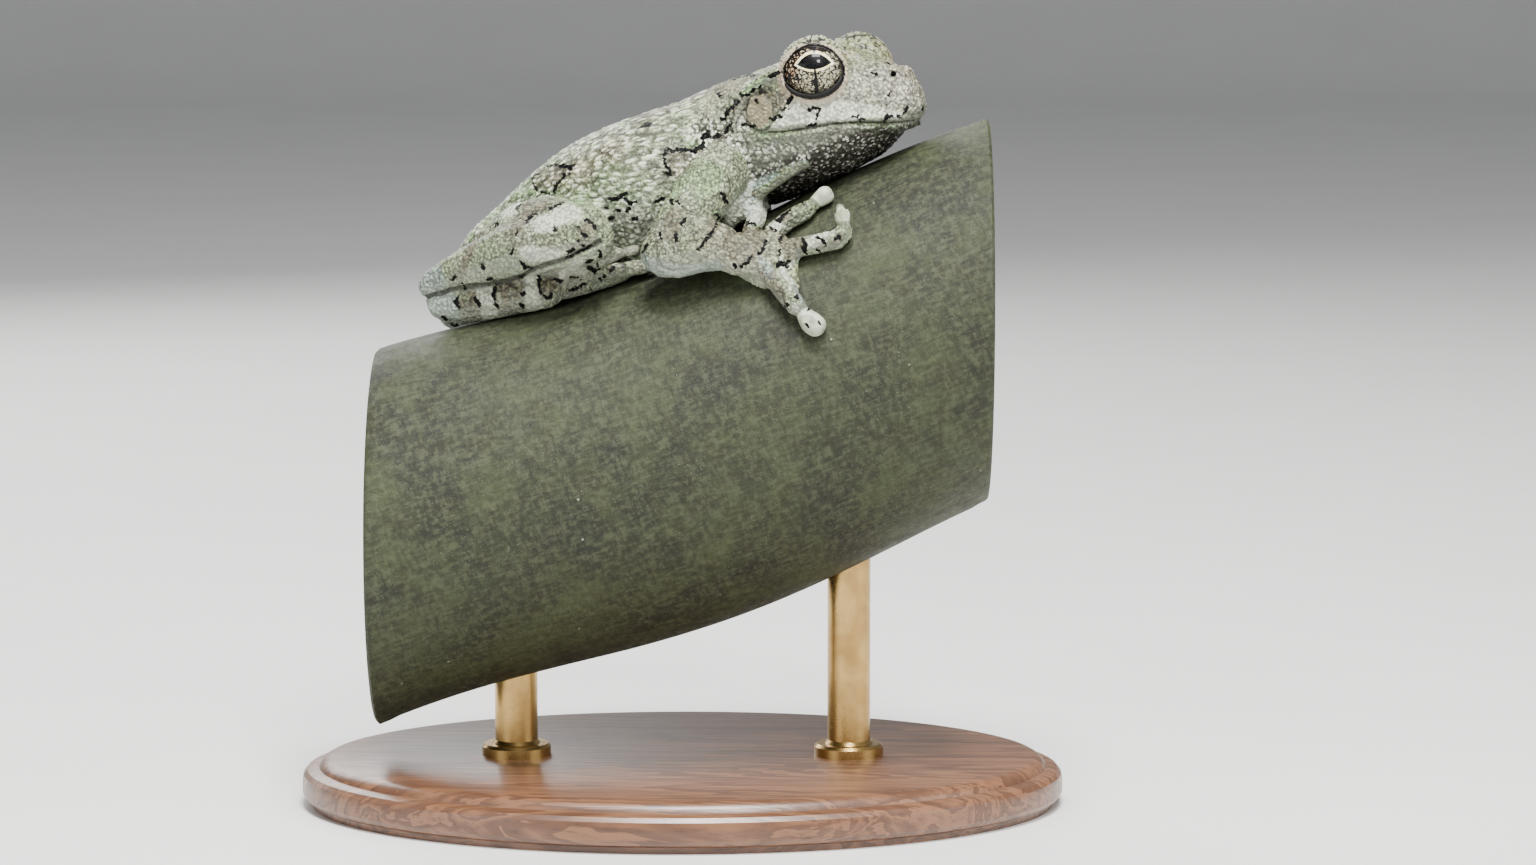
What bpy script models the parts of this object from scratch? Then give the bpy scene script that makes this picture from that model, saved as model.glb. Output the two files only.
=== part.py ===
# A gray treefrog at life size, crouched on a short cut length of a smooth limb,
# which two rods hold over a flat oval base. The frog faces +X and a little
# towards -Y. The origin is the centre of the underside of the base.
# All sizes are in millimetres, and a mesh is scaled to metres as it is made.

import math

import bmesh
import bpy
from mathutils import Matrix, Vector

MM = 0.001
GAP = 0.3               # kept between neighbours that touch
EYE_GAP = 0.2           # kept between an eyeball and its socket
FLAT_ANGLE = math.radians(0.7)

# The limb: it rises to the right, and sways gently along its length.
LIMB_RADIUS = 15.0
LIMB_RISE = math.radians(20.4)
LIMB_TOP_HEIGHT = 47.2  # of its top line above the floor, at the middle
LIMB_HALF_LENGTH = 25.5
LIMB_SWAY = 1.0
LIMB_SWAY_START = 8.0
LIMB_SWAY_REACH = 9.0
LIMB_SIDES = 28
LIMB_RINGS = 18

# The stand.
BASE_LENGTH = 64.0
BASE_WIDTH = 46.0
BASE_THICKNESS = 4.0
BASE_BEVEL = 0.8
ROD_RADIUS = 1.8
ROD_PLACES = {"stand_rod_rear": -14.0, "stand_rod_front": 14.0}

# The head: its own frame has +X to the snout tip, +Y to the frog's left, and its
# origin in the middle between the corners of the mouth.
HEAD_PLACE = Vector((12.33, 1.8, 5.54))
HEAD_YAW = math.radians(-21.0)
HEAD_PITCH = math.radians(4.0)
NECK_CUT = -3.4
EYE_RADIUS = 2.7
EYE_PLACE = (3.85, 5.1, 4.6)
EYE_FORWARD = math.radians(18.0)
EYE_UP = math.radians(12.0)
LID_THICKNESS = 0.4
LID_OPENING = (3.3, 2.9)
NOSTRIL_PLACE = (9.55, 1.45, 4.2)
NOSTRIL_RADIUS = 0.27
EAR_PLACE = (-0.45, 7.15, 1.75)
EAR_RADIUS = 1.15
LIP_RADIUS = 0.3

# How far the frog's plane of symmetry leans away from the camera about the
# limb's axis, at the hips and at the shoulders.
HIP_LEAN = math.radians(12.4)
SHOULDER_LEAN = math.radians(8.0)
TRUNK_ROLL = math.radians(8.0)
TRUNK_YAW = math.radians(-6.2)

SKIN_PALE = (0.62, 0.60, 0.50, 1.0)
SKIN_THROAT = (0.33, 0.30, 0.25, 1.0)
EYE_SILVER = (0.55, 0.50, 0.40, 1.0)
BARK_OLIVE = (0.16, 0.18, 0.11, 1.0)
BASE_WALNUT = (0.12, 0.07, 0.04, 1.0)
ROD_BRASS = (0.62, 0.48, 0.25, 1.0)


# Points and rows


def limb_axis(x):
    sway = LIMB_SWAY * math.sin((x - LIMB_SWAY_START) / LIMB_SWAY_REACH)
    return sway - LIMB_RADIUS


# A point on the bark: how far along the limb, how far round from its top line
# towards -Y, and how high above the bark.
def on_bark(along, girth, height):
    angle = girth / LIMB_RADIUS
    reach = LIMB_RADIUS + height
    return (along, -reach * math.sin(angle), limb_axis(along) + reach * math.cos(angle))


def away_from_bark(point):
    return Vector((0.0, point.y, point.z - limb_axis(point.x))).normalized()


def upward(point):
    return Vector((0.0, 0.0, 1.0))


# The same row on the frog's other side, mirrored in a plane through the limb's
# axis that leans away from -Y.
def mirrored(row, lean):
    x, y, z = row[:3]
    high = z - limb_axis(x)
    across = y * math.cos(lean) - high * math.sin(lean)
    y -= 2.0 * across * math.cos(lean)
    high += 2.0 * across * math.sin(lean)
    return (x, y, high + limb_axis(x)) + tuple(row[3:])


# Rows of numbers spread evenly along a smooth curve through the given rows.
def spread(rows, count):
    last = len(rows) - 1
    result = []
    for step in range(count):
        place = step / (count - 1) * last
        k = min(int(place), last - 1)
        t = place - k
        before = rows[max(k - 1, 0)]
        start = rows[k]
        end = rows[k + 1]
        after = rows[min(k + 2, last)]
        row = []
        for a, b, c, d in zip(before, start, end, after):
            slope = 0.5 * (c - a)
            leave = 0.5 * (d - b)
            bend = 3.0 * (c - b) - 2.0 * slope - leave
            turn = 2.0 * (b - c) + slope + leave
            row.append(b + t * (slope + t * (bend + t * turn)))
        result.append(row)
    return result


# Meshes


def clear_scene():
    for thing in list(bpy.data.objects):
        bpy.data.objects.remove(thing, do_unlink=True)


def new_object(name, mesh):
    data = bpy.data.meshes.new(name)
    mesh.to_mesh(data)
    mesh.free()
    thing = bpy.data.objects.new(name, data)
    bpy.context.scene.collection.objects.link(thing)
    return thing


# One closed body through a row of equal loops, with a point at each end.
def skin(name, tail, loops, nose):
    mesh = bmesh.new()
    rings = [[mesh.verts.new(point * MM) for point in loop] for loop in loops]
    count = len(rings[0])
    for near, far in zip(rings, rings[1:]):
        for i in range(count):
            j = (i + 1) % count
            mesh.faces.new((near[i], near[j], far[j], far[i]))
    for point, ring in ((tail, rings[0]), (nose, rings[-1])):
        end = mesh.verts.new(point * MM)
        for i in range(count):
            mesh.faces.new((end, ring[i], ring[(i + 1) % count]))
    bmesh.ops.triangulate(mesh, faces=mesh.faces)
    bmesh.ops.recalc_face_normals(mesh, faces=mesh.faces)
    return new_object(name, mesh)


# A tube with rounded ends. A row holds a centre, the half width across the tube
# and the half thickness along its up direction.
def tube(rows, rings, sides, up=upward, grow=0.0, ends=(1.0, 1.0)):
    rows = spread(rows, rings)
    centres = [Vector(row[:3]) for row in rows]
    loops = []
    caps = []

    def loop(centre, tangent, width, thickness):
        side = up(centre).cross(tangent).normalized()
        high = tangent.cross(side)
        points = []
        for i in range(sides):
            angle = math.tau * i / sides
            points.append(centre + side * (width * math.cos(angle)) + high * (thickness * math.sin(angle)))
        return points

    for i, row in enumerate(rows):
        tangent = (centres[min(i + 1, rings - 1)] - centres[max(i - 1, 0)]).normalized()
        width = row[3] + grow
        thickness = row[4] + grow
        if i == 0 or i == rings - 1:
            sign = -1.0 if i == 0 else 1.0
            reach = ends[0 if i == 0 else 1] * 0.5 * (row[3] + row[4]) + grow
            cap = []
            for turn in (math.radians(38.0), math.radians(66.0)):
                centre = centres[i] + tangent * (sign * reach * math.sin(turn))
                cap.append(loop(centre, tangent, width * math.cos(turn), thickness * math.cos(turn)))
            caps.append((cap, centres[i] + tangent * (sign * reach)))
        loops.append(loop(centres[i], tangent, width, thickness))
    first, tail = caps[0]
    final, nose = caps[1]
    return skin("tube", tail, first[::-1] + loops + final, nose)


def ellipsoid(centre, radii, turn=None, segments=16, rings=10):
    mesh = bmesh.new()
    bmesh.ops.create_uvsphere(mesh, u_segments=segments, v_segments=rings, radius=1.0)
    bmesh.ops.triangulate(mesh, faces=mesh.faces)
    shape = Matrix.Diagonal((radii[0] * MM, radii[1] * MM, radii[2] * MM, 1.0))
    place = Matrix.Translation(Vector(centre) * MM)
    mesh.transform(place @ (turn.to_4x4() if turn else Matrix.Identity(4)) @ shape)
    return new_object("ellipsoid", mesh)


def block(low, high):
    mesh = bmesh.new()
    bmesh.ops.create_cube(mesh, size=1.0)
    low = Vector(low) * MM
    high = Vector(high) * MM
    size = high - low
    mesh.transform(Matrix.Translation((low + high) / 2.0) @ Matrix.Diagonal((size.x, size.y, size.z, 1.0)))
    return new_object("block", mesh)


# Joining and cutting


def largest_body(thing):
    mesh = bmesh.new()
    mesh.from_mesh(thing.data)
    bodies = []
    seen = set()
    for start in mesh.verts:
        if start in seen:
            continue
        body = set()
        front = [start]
        seen.add(start)
        while front:
            vert = front.pop()
            body.add(vert)
            for edge in vert.link_edges:
                other = edge.other_vert(vert)
                if other not in seen:
                    seen.add(other)
                    front.append(other)
        bodies.append(body)
    bodies.sort(key=len)
    loose = [vert for body in bodies[:-1] for vert in body]
    bmesh.ops.delete(mesh, geom=loose, context="VERTS")
    mesh.to_mesh(thing.data)
    mesh.free()


def boolean(thing, others, operation):
    group = bpy.data.collections.new("operands")
    bpy.context.scene.collection.children.link(group)
    for other in others:
        group.objects.link(other)
    step = thing.modifiers.new(operation.lower(), "BOOLEAN")
    step.operation = operation
    step.operand_type = "COLLECTION"
    step.collection = group
    bpy.context.view_layer.update()
    graph = bpy.context.evaluated_depsgraph_get()
    result = bpy.data.meshes.new_from_object(thing.evaluated_get(graph), depsgraph=graph)
    thing.modifiers.clear()
    before = thing.data
    thing.data = result
    bpy.data.meshes.remove(before)
    for other in others:
        bpy.data.objects.remove(other, do_unlink=True)
    bpy.data.collections.remove(group)
    largest_body(thing)
    return thing


def fuse(pieces):
    return boolean(pieces[0], pieces[1:], "UNION") if len(pieces) > 1 else pieces[0]


def carve(thing, cutters):
    return boolean(thing, cutters, "DIFFERENCE")


def copy_of(thing):
    twin = thing.copy()
    twin.data = thing.data.copy()
    bpy.context.scene.collection.objects.link(twin)
    return twin


def is_closed(mesh):
    return all(len(edge.link_faces) == 2 for edge in mesh.edges)


# Takes out the shortest edges and flattest slivers that cutting leaves, with the
# longest reach that keeps the body closed.
def clean(thing):
    for reach in (0.02, 0.012, 0.006, 0.003, 0.001):
        mesh = bmesh.new()
        mesh.from_mesh(thing.data)
        bmesh.ops.remove_doubles(mesh, verts=mesh.verts, dist=reach * MM)
        bmesh.ops.dissolve_degenerate(mesh, edges=mesh.edges, dist=reach * MM)
        bmesh.ops.dissolve_limit(
            mesh, angle_limit=FLAT_ANGLE, use_dissolve_boundaries=False, verts=mesh.verts, edges=mesh.edges
        )
        bmesh.ops.triangulate(mesh, faces=mesh.faces, quad_method="BEAUTY", ngon_method="BEAUTY")
        closed = is_closed(mesh)
        if closed:
            mesh.to_mesh(thing.data)
        mesh.free()
        if closed:
            return


def finish(thing, name, colour, roughness, metallic, parent):
    clean(thing)
    thing.name = name
    thing.data.name = name
    coat = bpy.data.materials.new(name)
    coat.use_nodes = True
    shader = coat.node_tree.nodes["Principled BSDF"]
    shader.inputs["Base Color"].default_value = colour
    shader.inputs["Roughness"].default_value = roughness
    shader.inputs["Metallic"].default_value = metallic
    thing.data.materials.clear()
    thing.data.materials.append(coat)
    thing.parent = parent
    thing.data.shade_smooth()
    thing.data.set_sharp_from_angle(angle=math.radians(40.0))


# The limb and the stand


def limb_piece(grow=0.0):
    reach = LIMB_HALF_LENGTH / math.cos(LIMB_RISE) + LIMB_RADIUS
    loops = []
    for step in range(LIMB_RINGS + 1):
        x = -reach + 2.0 * reach * step / LIMB_RINGS
        centre = Vector((x, 0.0, limb_axis(x)))
        loops.append([])
        for i in range(LIMB_SIDES):
            angle = math.tau * i / LIMB_SIDES
            out = Vector((0.0, math.sin(angle), math.cos(angle)))
            loops[-1].append(centre + out * (LIMB_RADIUS + grow))
    tail = Vector((-reach, 0.0, limb_axis(-reach)))
    nose = Vector((reach, 0.0, limb_axis(reach)))
    return skin("limb", tail, loops, nose)


# Both ends are sawn plumb, so the cuts are made in the turned frame.
def perch(frame):
    thing = limb_piece()
    to_limb = frame.matrix_world.inverted()
    for side in (-1.0, 1.0):
        near = LIMB_HALF_LENGTH * side
        far = (LIMB_HALF_LENGTH + 60.0) * side
        saw = block((min(near, far), -40.0, -20.0), (max(near, far), 40.0, 120.0))
        saw.data.transform(to_limb)
        carve(thing, [saw])
    return thing


def stand_base():
    mesh = bmesh.new()
    bmesh.ops.create_circle(mesh, cap_ends=True, segments=48, radius=1.0)
    mesh.transform(Matrix.Diagonal((BASE_LENGTH / 2.0 * MM, BASE_WIDTH / 2.0 * MM, 1.0, 1.0)))
    bottom = mesh.faces[:]
    top = bmesh.ops.extrude_face_region(mesh, geom=bottom)["geom"]
    top_verts = [item for item in top if isinstance(item, bmesh.types.BMVert)]
    bmesh.ops.translate(mesh, verts=top_verts, vec=(0.0, 0.0, BASE_THICKNESS * MM))
    rim = [edge for edge in mesh.edges if all(vert in top_verts for vert in edge.verts)]
    bmesh.ops.bevel(mesh, geom=rim, offset=BASE_BEVEL * MM, segments=2, profile=0.5, affect="EDGES")
    bmesh.ops.recalc_face_normals(mesh, faces=mesh.faces)
    return new_object("base", mesh)


def stand_rod(x, frame):
    mesh = bmesh.new()
    bottom = BASE_THICKNESS + GAP
    height = LIMB_TOP_HEIGHT - LIMB_RADIUS
    bmesh.ops.create_cone(
        mesh, cap_ends=True, segments=16, radius1=ROD_RADIUS * MM, radius2=ROD_RADIUS * MM, depth=height * MM
    )
    mesh.transform(Matrix.Translation(Vector((x, 0.0, bottom + height / 2.0)) * MM))
    rod = new_object("rod", mesh)
    keep_out = limb_piece(GAP)
    keep_out.data.transform(frame.matrix_world)
    return carve(rod, [keep_out])


# The head


# Along the head: half width, height of the widest line, top and bottom.
HEAD_ROWS = (
    (-6.0, 6.90, 0.30, 4.25, -6.30),
    (-3.5, 7.15, 0.30, 4.80, -6.30),
    (-1.5, 7.35, 0.30, 5.30, -5.90),
    (0.5, 7.40, 0.30, 6.00, -5.25),
    (2.5, 7.30, 0.30, 6.50, -4.50),
    (4.5, 6.95, 0.30, 6.65, -3.75),
    (6.2, 6.20, 0.35, 6.05, -3.00),
    (7.8, 5.15, 0.40, 5.35, -2.00),
    (9.2, 4.20, 0.40, 4.90, -1.10),
    (10.2, 3.25, 0.50, 4.40, -0.75),
    (10.9, 2.35, 0.90, 3.55, -0.40),
    (11.35, 1.45, 1.10, 2.50, 0.20),
)
HEAD_TIP = (11.6, 0.0, 1.2)
HEAD_RINGS = 24
HEAD_SIDES = 26
UPPER_FULLNESS = 2.5
LOWER_FULLNESS = 2.2
# The line of the mouth, from its corner to the tip.
MOUTH_ROWS = ((0.0, 0.0), (3.7, 0.15), (6.5, 0.42), (9.4, 0.15), (11.4, 0.05))


# Half width and heights of the head at one place along it.
def head_row(x):
    for near, far in zip(HEAD_ROWS, HEAD_ROWS[1:]):
        if x <= far[0]:
            t = (x - near[0]) / (far[0] - near[0])
            return [a + (b - a) * t for a, b in zip(near, far)]
    return list(HEAD_ROWS[-1])


def oval(width, middle, top, bottom, sides):
    points = []
    for i in range(sides):
        angle = math.tau * (i + 0.5) / sides
        c = math.cos(angle)
        s = math.sin(angle)
        fullness = UPPER_FULLNESS if s > 0.0 else LOWER_FULLNESS
        across = width * math.copysign(abs(c) ** (2.0 / fullness), c)
        high = abs(s) ** (2.0 / fullness)
        points.append((across, middle + high * ((top if s > 0.0 else bottom) - middle)))
    return points


def head_form():
    rows = spread(HEAD_ROWS, HEAD_RINGS)
    loops = []
    for x, width, middle, top, bottom in rows:
        loops.append([Vector((x, y, z)) for y, z in oval(width, middle, top, bottom, HEAD_SIDES)])
    tail = Vector((rows[0][0], 0.0, 0.0))
    return skin("head", tail, loops, Vector(HEAD_TIP))


def eye_turn(side):
    return Matrix.Rotation(-side * EYE_FORWARD, 3, "Z") @ Matrix.Rotation(side * EYE_UP, 3, "X")


def eye_place(side):
    return Vector((EYE_PLACE[0], side * EYE_PLACE[1], EYE_PLACE[2]))


# The lips stand proud of the line of the mouth, from one corner round the snout
# to the other.
def lip(rise, inset):
    rows = []
    steps = 6
    for side in (-1.0, 1.0):
        half = []
        for step in range(steps):
            x = 0.3 + (10.75 - 0.3) * math.sin(0.5 * math.pi * step / (steps - 1))
            width = head_row(x)[1] - inset
            half.append((x, side * width, rise + 0.2, LIP_RADIUS, LIP_RADIUS))
        rows += half if side < 0.0 else half[::-1]
    return tube(rows, 18, 6)


def fold(side):
    rows = (
        (1.0, side * 6.6, 4.7, 0.5, 0.5),
        (-1.0, side * 7.0, 3.7, 0.5, 0.5),
        (-2.2, side * 7.15, 2.2, 0.45, 0.45),
        (-2.9, side * 7.0, 0.2, 0.35, 0.35),
    )
    return tube(rows, 7, 6)


def jaw_block(grow):
    rows = spread(MOUTH_ROWS, 12)
    mesh = bmesh.new()
    loops = []
    half = 12.0
    for side in (-1.0, 1.0):
        ring = []
        for i, (x, z) in enumerate(rows):
            ring.append(Vector((x - grow if i == 0 else x, side * half, z + grow)))
        ring.append(Vector((14.0, side * half, rows[-1][1] + grow)))
        ring.append(Vector((14.0, side * half, -12.0)))
        ring.append(Vector((rows[0][0] - grow, side * half, -12.0)))
        loops.append([mesh.verts.new(point * MM) for point in ring])
    near, far = loops
    mesh.faces.new(near)
    mesh.faces.new(far[::-1])
    count = len(near)
    for i in range(count):
        j = (i + 1) % count
        mesh.faces.new((near[i], far[i], far[j], near[j]))
    bmesh.ops.triangulate(mesh, faces=mesh.faces)
    bmesh.ops.recalc_face_normals(mesh, faces=mesh.faces)
    return new_object("jaw_block", mesh)


def head_pieces():
    added = [lip(0.35, 0.15), lip(-0.42, 0.4)]
    cutters = []
    for side in (-1.0, 1.0):
        turn = eye_turn(side)
        lid = EYE_RADIUS + LID_THICKNESS
        place = eye_place(side)
        added.append(ellipsoid(place, (lid, lid, lid * 0.97), segments=18, rings=12))
        added.append(fold(side))
        ear = Vector((EAR_PLACE[0], side * EAR_PLACE[1], EAR_PLACE[2]))
        added.append(ellipsoid(ear, (EAR_RADIUS, 0.5, EAR_RADIUS * 1.1), segments=14, rings=8))
        nostril = Vector((NOSTRIL_PLACE[0], side * NOSTRIL_PLACE[1], NOSTRIL_PLACE[2]))
        added.append(ellipsoid(nostril, (0.75, 0.6, 0.55), segments=12, rings=8))
        out = nostril + Vector((0.1, side * 0.45, 0.3))
        cutters.append(ellipsoid(out, (NOSTRIL_RADIUS,) * 3, segments=10, rings=6))
        cutters.append(ellipsoid(place, (EYE_RADIUS + EYE_GAP,) * 3, segments=18, rings=12))
        opening = place + turn @ Vector((0.0, side * 3.4, 0.0))
        cutters.append(ellipsoid(opening, (LID_OPENING[0], 2.6, LID_OPENING[1]), turn, 18, 10))
        dish = ear + Vector((0.0, side * 0.62, 0.0))
        cutters.append(ellipsoid(dish, (EAR_RADIUS * 0.8, 0.32, EAR_RADIUS * 0.88), segments=12, rings=8))
    whole = fuse([head_form()] + added)
    clean(whole)
    carve(whole, cutters)
    clean(whole)
    back = block((-30.0, -20.0, -20.0), (NECK_CUT + GAP / 2.0, 20.0, 20.0))
    carve(whole, [back])
    jaw = copy_of(whole)
    boolean(jaw, [jaw_block(-GAP / 2.0)], "INTERSECT")
    carve(whole, [jaw_block(GAP / 2.0)])
    return whole, jaw


def eyeball(side):
    return ellipsoid(eye_place(side), (EYE_RADIUS,) * 3, eye_turn(side), segments=18, rings=12)


# The trunk


# Along the limb: the trunk's middle across it, top, bottom and half width.
TRUNK_ROWS = (
    (-18.3, 4.9, 5.3, 2.0, 2.0),
    (-16.3, 4.7, 6.8, 0.8, 3.6),
    (-13.4, 4.4, 7.9, 0.0, 4.9),
    (-10.1, 4.1, 9.35, -0.7, 5.9),
    (-6.5, 3.7, 10.5, -1.1, 7.1),
    (-2.5, 3.3, 11.0, -1.2, 8.2),
    (1.5, 3.0, 10.95, -1.0, 8.5),
    (5.0, 2.9, 10.9, -0.5, 7.9),
)
TRUNK_RINGS = 22
TRUNK_SIDES = 22
TRUNK_TAIL = (-19.0, 4.9, 3.6)


def trunk(head_matrix):
    rows = []
    lean = Matrix.Rotation(TRUNK_YAW, 3, "Z") @ Matrix.Rotation(-TRUNK_ROLL, 3, "X")
    for x, y, top, bottom, width in TRUNK_ROWS:
        centre = (x, y, (top + bottom) / 2.0)
        half = (top - bottom) / 2.0
        rows.append((*centre, *lean.col[1], *lean.col[2], width, half, half))
    for x in (-5.0, NECK_CUT, -1.5):
        _, width, middle, top, bottom = head_row(x)
        centre = head_matrix @ Vector((x, 0.0, middle))
        side = head_matrix.to_3x3().col[1]
        high = head_matrix.to_3x3().col[2]
        rows.append((*centre, *side, *high, width, top - middle, middle - bottom))
    loops = []
    for row in spread(rows, TRUNK_RINGS):
        centre = Vector(row[0:3])
        side = Vector(row[3:6]).normalized()
        high = Vector(row[6:9]).normalized()
        width, rise, drop = row[9:12]
        loops.append([centre + side * y + high * z for y, z in oval(width, 0.0, rise, -drop, TRUNK_SIDES)])
    return skin("torso", Vector(TRUNK_TAIL), loops, head_matrix @ Vector((-1.2, 0.0, 0.0)))


# The legs and arms. A row holds a centre, half width and half thickness.


def bark_row(along, girth, height, width, thickness):
    return (*on_bark(along, girth, height), width, thickness)


THIGH = (
    (-14.0, 0.3, 4.8, 2.4, 2.6),
    (-11.8, -1.6, 4.8, 3.1, 3.2),
    (-9.2, -3.9, 4.5, 3.2, 3.2),
    (-7.0, -6.0, 4.0, 2.5, 2.6),
)
SHANK = (
    (-6.7, -6.6, 3.5, 2.1, 2.3),
    (-9.6, -6.2, 4.1, 2.3, 2.4),
    (-13.0, -4.4, 4.4, 2.1, 2.3),
    (-17.2, -1.7, 4.2, 1.7, 1.9),
    (-20.6, 0.4, 3.7, 1.4, 1.5),
)
TARSUS = (
    bark_row(-20.6, -0.2, 2.0, 1.3, 1.3),
    bark_row(-18.4, 0.7, 1.65, 1.4, 1.4),
    bark_row(-15.0, 2.0, 1.75, 1.5, 1.5),
    bark_row(-11.6, 3.1, 1.7, 1.6, 1.4),
)
UPPER_ARM = (
    (6.0, -2.6, 5.0, 2.2, 2.4),
    (4.0, -5.6, 3.9, 2.3, 2.5),
    (1.6, -7.6, 2.3, 2.2, 2.3),
    (-0.3, -8.4, 1.0, 2.2, 2.2),
)
FOREARM = (
    (-0.8, -8.7, 0.1, 2.4, 2.5),
    (1.2, -9.3, 0.0, 2.5, 2.6),
    (3.1, -9.7, -0.7, 2.2, 2.1),
    (4.4, -9.9, -1.5, 2.0, 1.6),
)
PALM = (
    bark_row(4.0, 9.6, 2.2, 1.9, 1.6),
    bark_row(5.4, 9.9, 1.7, 2.3, 1.3),
    bark_row(6.7, 10.2, 1.3, 2.5, 1.1),
    bark_row(7.5, 10.4, 1.15, 1.9, 0.9),
)


# A finger or toe lies on the bark from its root to its pad: the places along and
# round the limb, the height of its middle, its radius and the pad's radius.
def digit(places, radius, pad):
    rows = [bark_row(*place, radius * 1.1 if i == 0 else radius, radius) for i, place in enumerate(places)]
    tip = Vector(rows[-1][:3])
    rows[-1] = (*tip, pad, pad * 0.55)
    neck = tip + (Vector(rows[-2][:3]) - tip).normalized() * (pad * 1.25)
    rows.insert(-1, (*neck, radius * 0.8, radius * 0.72))
    return rows


FINGERS = (
    digit(((5.4, 7.9, 1.3), (6.6, 5.0, 1.05), (7.0, 2.4, 1.0), (7.0, 0.5, 0.75)), 0.75, 1.05),
    digit(((6.8, 8.8, 1.2), (8.8, 7.4, 1.0), (10.6, 7.1, 0.95), (12.5, 5.9, 0.7)), 0.75, 1.1),
    digit(((7.2, 10.4, 1.2), (9.8, 11.0, 1.0), (12.2, 11.9, 1.0), (13.2, 11.5, 1.1), (13.5, 10.3, 1.5)), 0.8, 0.8),
    digit(((6.2, 11.8, 1.2), (6.9, 13.9, 1.0), (7.7, 16.0, 0.95), (8.2, 17.4, 0.75)), 0.82, 1.15),
)
TOES = (
    digit(((-12.0, 2.0, 1.3), (-10.4, 0.9, 0.9), (-8.4, 0.4, 0.75)), 0.6, 0.75),
    digit(((-12.0, 2.5, 1.5), (-9.4, 1.6, 1.1), (-6.2, 1.0, 0.75)), 0.62, 0.8),
    digit(((-11.4, 3.4, 2.1), (-8.2, 3.9, 2.8), (-5.4, 4.7, 3.3), (-3.6, 5.1, 3.2)), 0.62, 0.75),
    digit(((-11.6, 3.0, 1.9), (-8.0, 3.4, 1.8), (-4.6, 3.7, 1.3), (-0.8, 4.3, 0.75)), 0.66, 0.95),
    digit(((-11.8, 3.3, 1.3), (-8.6, 3.0, 1.0), (-5.6, 2.7, 0.85), (-3.6, 2.5, 0.75)), 0.62, 0.9),
)


def limb_parts(side):
    def put(rows, lean):
        return [mirrored(row, lean) for row in rows] if side == "left" else list(rows)

    def leg(rows, rings, sides):
        return lambda grow=0.0: [tube(put(rows, HIP_LEAN), rings, sides, upward, grow)]

    def arm(rows, rings, sides):
        return lambda grow=0.0: [tube(put(rows, SHOULDER_LEAN), rings, sides, upward, grow)]

    def paw(root, digits, lean, rings):
        def make(grow=0.0):
            pieces = [tube(put(root, lean), rings, 10, away_from_bark, grow)]
            for rows in digits:
                pieces.append(tube(put(rows, lean), 8, 7, away_from_bark, grow, (0.5, 0.9)))
            return pieces

        return make

    return {
        "thigh_" + side: leg(THIGH, 7, 14),
        "shank_" + side: leg(SHANK, 9, 12),
        "foot_" + side: paw(TARSUS, TOES, HIP_LEAN, 7),
        "upper_arm_" + side: arm(UPPER_ARM, 6, 12),
        "forearm_" + side: arm(FOREARM, 6, 12),
        "hand_" + side: paw(PALM, FINGERS, SHOULDER_LEAN, 6),
    }


# Which neighbours each node gives way to.
GIVES_WAY = {
    "thigh": ("shank", "foot"),
    "shank": ("foot",),
    "upper_arm": ("forearm", "foot"),
    "forearm": ("hand", "foot"),
    "foot": (),
    "hand": (),
}


def build_frog(frame):
    to_limb = Matrix.Rotation(LIMB_RISE, 4, "Y")
    turn = to_limb @ Matrix.Rotation(HEAD_YAW, 4, "Z") @ Matrix.Rotation(-HEAD_PITCH, 4, "Y")
    head_matrix = Matrix.Translation(HEAD_PLACE) @ turn
    head_in_metres = Matrix.Translation(HEAD_PLACE * MM) @ turn

    parts = {}
    for side in ("right", "left"):
        parts.update(limb_parts(side))

    def cutters(names):
        return [piece for name in names for piece in parts[name](GAP)]

    head, jaw = head_pieces()
    eyes = {"eye_right": eyeball(-1.0), "eye_left": eyeball(1.0)}
    for thing in (head, jaw, *eyes.values()):
        thing.data.transform(head_in_metres)
    torso = trunk(head_matrix)
    front = block((NECK_CUT - GAP / 2.0, -30.0, -30.0), (40.0, 30.0, 30.0))
    front.data.transform(head_in_metres)
    carve(torso, [front])
    clean(torso)

    carve(torso, cutters(parts) + [limb_piece(GAP)])
    reach = [name for name in parts if name.startswith(("upper_arm", "hand", "forearm"))]
    carve(head, cutters(reach) + [limb_piece(GAP)])
    carve(jaw, cutters(reach) + [limb_piece(GAP)])
    finish(torso, "torso", SKIN_PALE, 0.55, 0.0, frame)
    finish(head, "head", SKIN_PALE, 0.55, 0.0, frame)
    finish(jaw, "lower_jaw", SKIN_THROAT, 0.55, 0.0, frame)
    for name, eye in eyes.items():
        finish(eye, name, EYE_SILVER, 0.1, 0.0, frame)

    for name, make in parts.items():
        kind, side = name.rsplit("_", 1)
        thing = fuse(make())
        clean(thing)
        others = [other + "_" + side for other in GIVES_WAY[kind]]
        carve(thing, cutters(others) + [limb_piece(GAP)])
        finish(thing, name, SKIN_PALE, 0.55, 0.0, frame)


def main():
    clear_scene()
    frame = bpy.data.objects.new("limb_frame", None)
    bpy.context.scene.collection.objects.link(frame)
    frame.location = (0.0, 0.0, LIMB_TOP_HEIGHT * MM)
    frame.rotation_euler = (0.0, -LIMB_RISE, 0.0)
    bpy.context.view_layer.update()

    finish(perch(frame), "perch_limb", BARK_OLIVE, 0.8, 0.0, frame)
    finish(stand_base(), "stand_base", BASE_WALNUT, 0.4, 0.0, None)
    for name, x in ROD_PLACES.items():
        finish(stand_rod(x, frame), name, ROD_BRASS, 0.3, 1.0, None)
    build_frog(frame)


main()
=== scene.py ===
import math

import bpy
import numpy as np
from mathutils import Matrix, Vector
from mathutils.bvhtree import BVHTree


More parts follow.
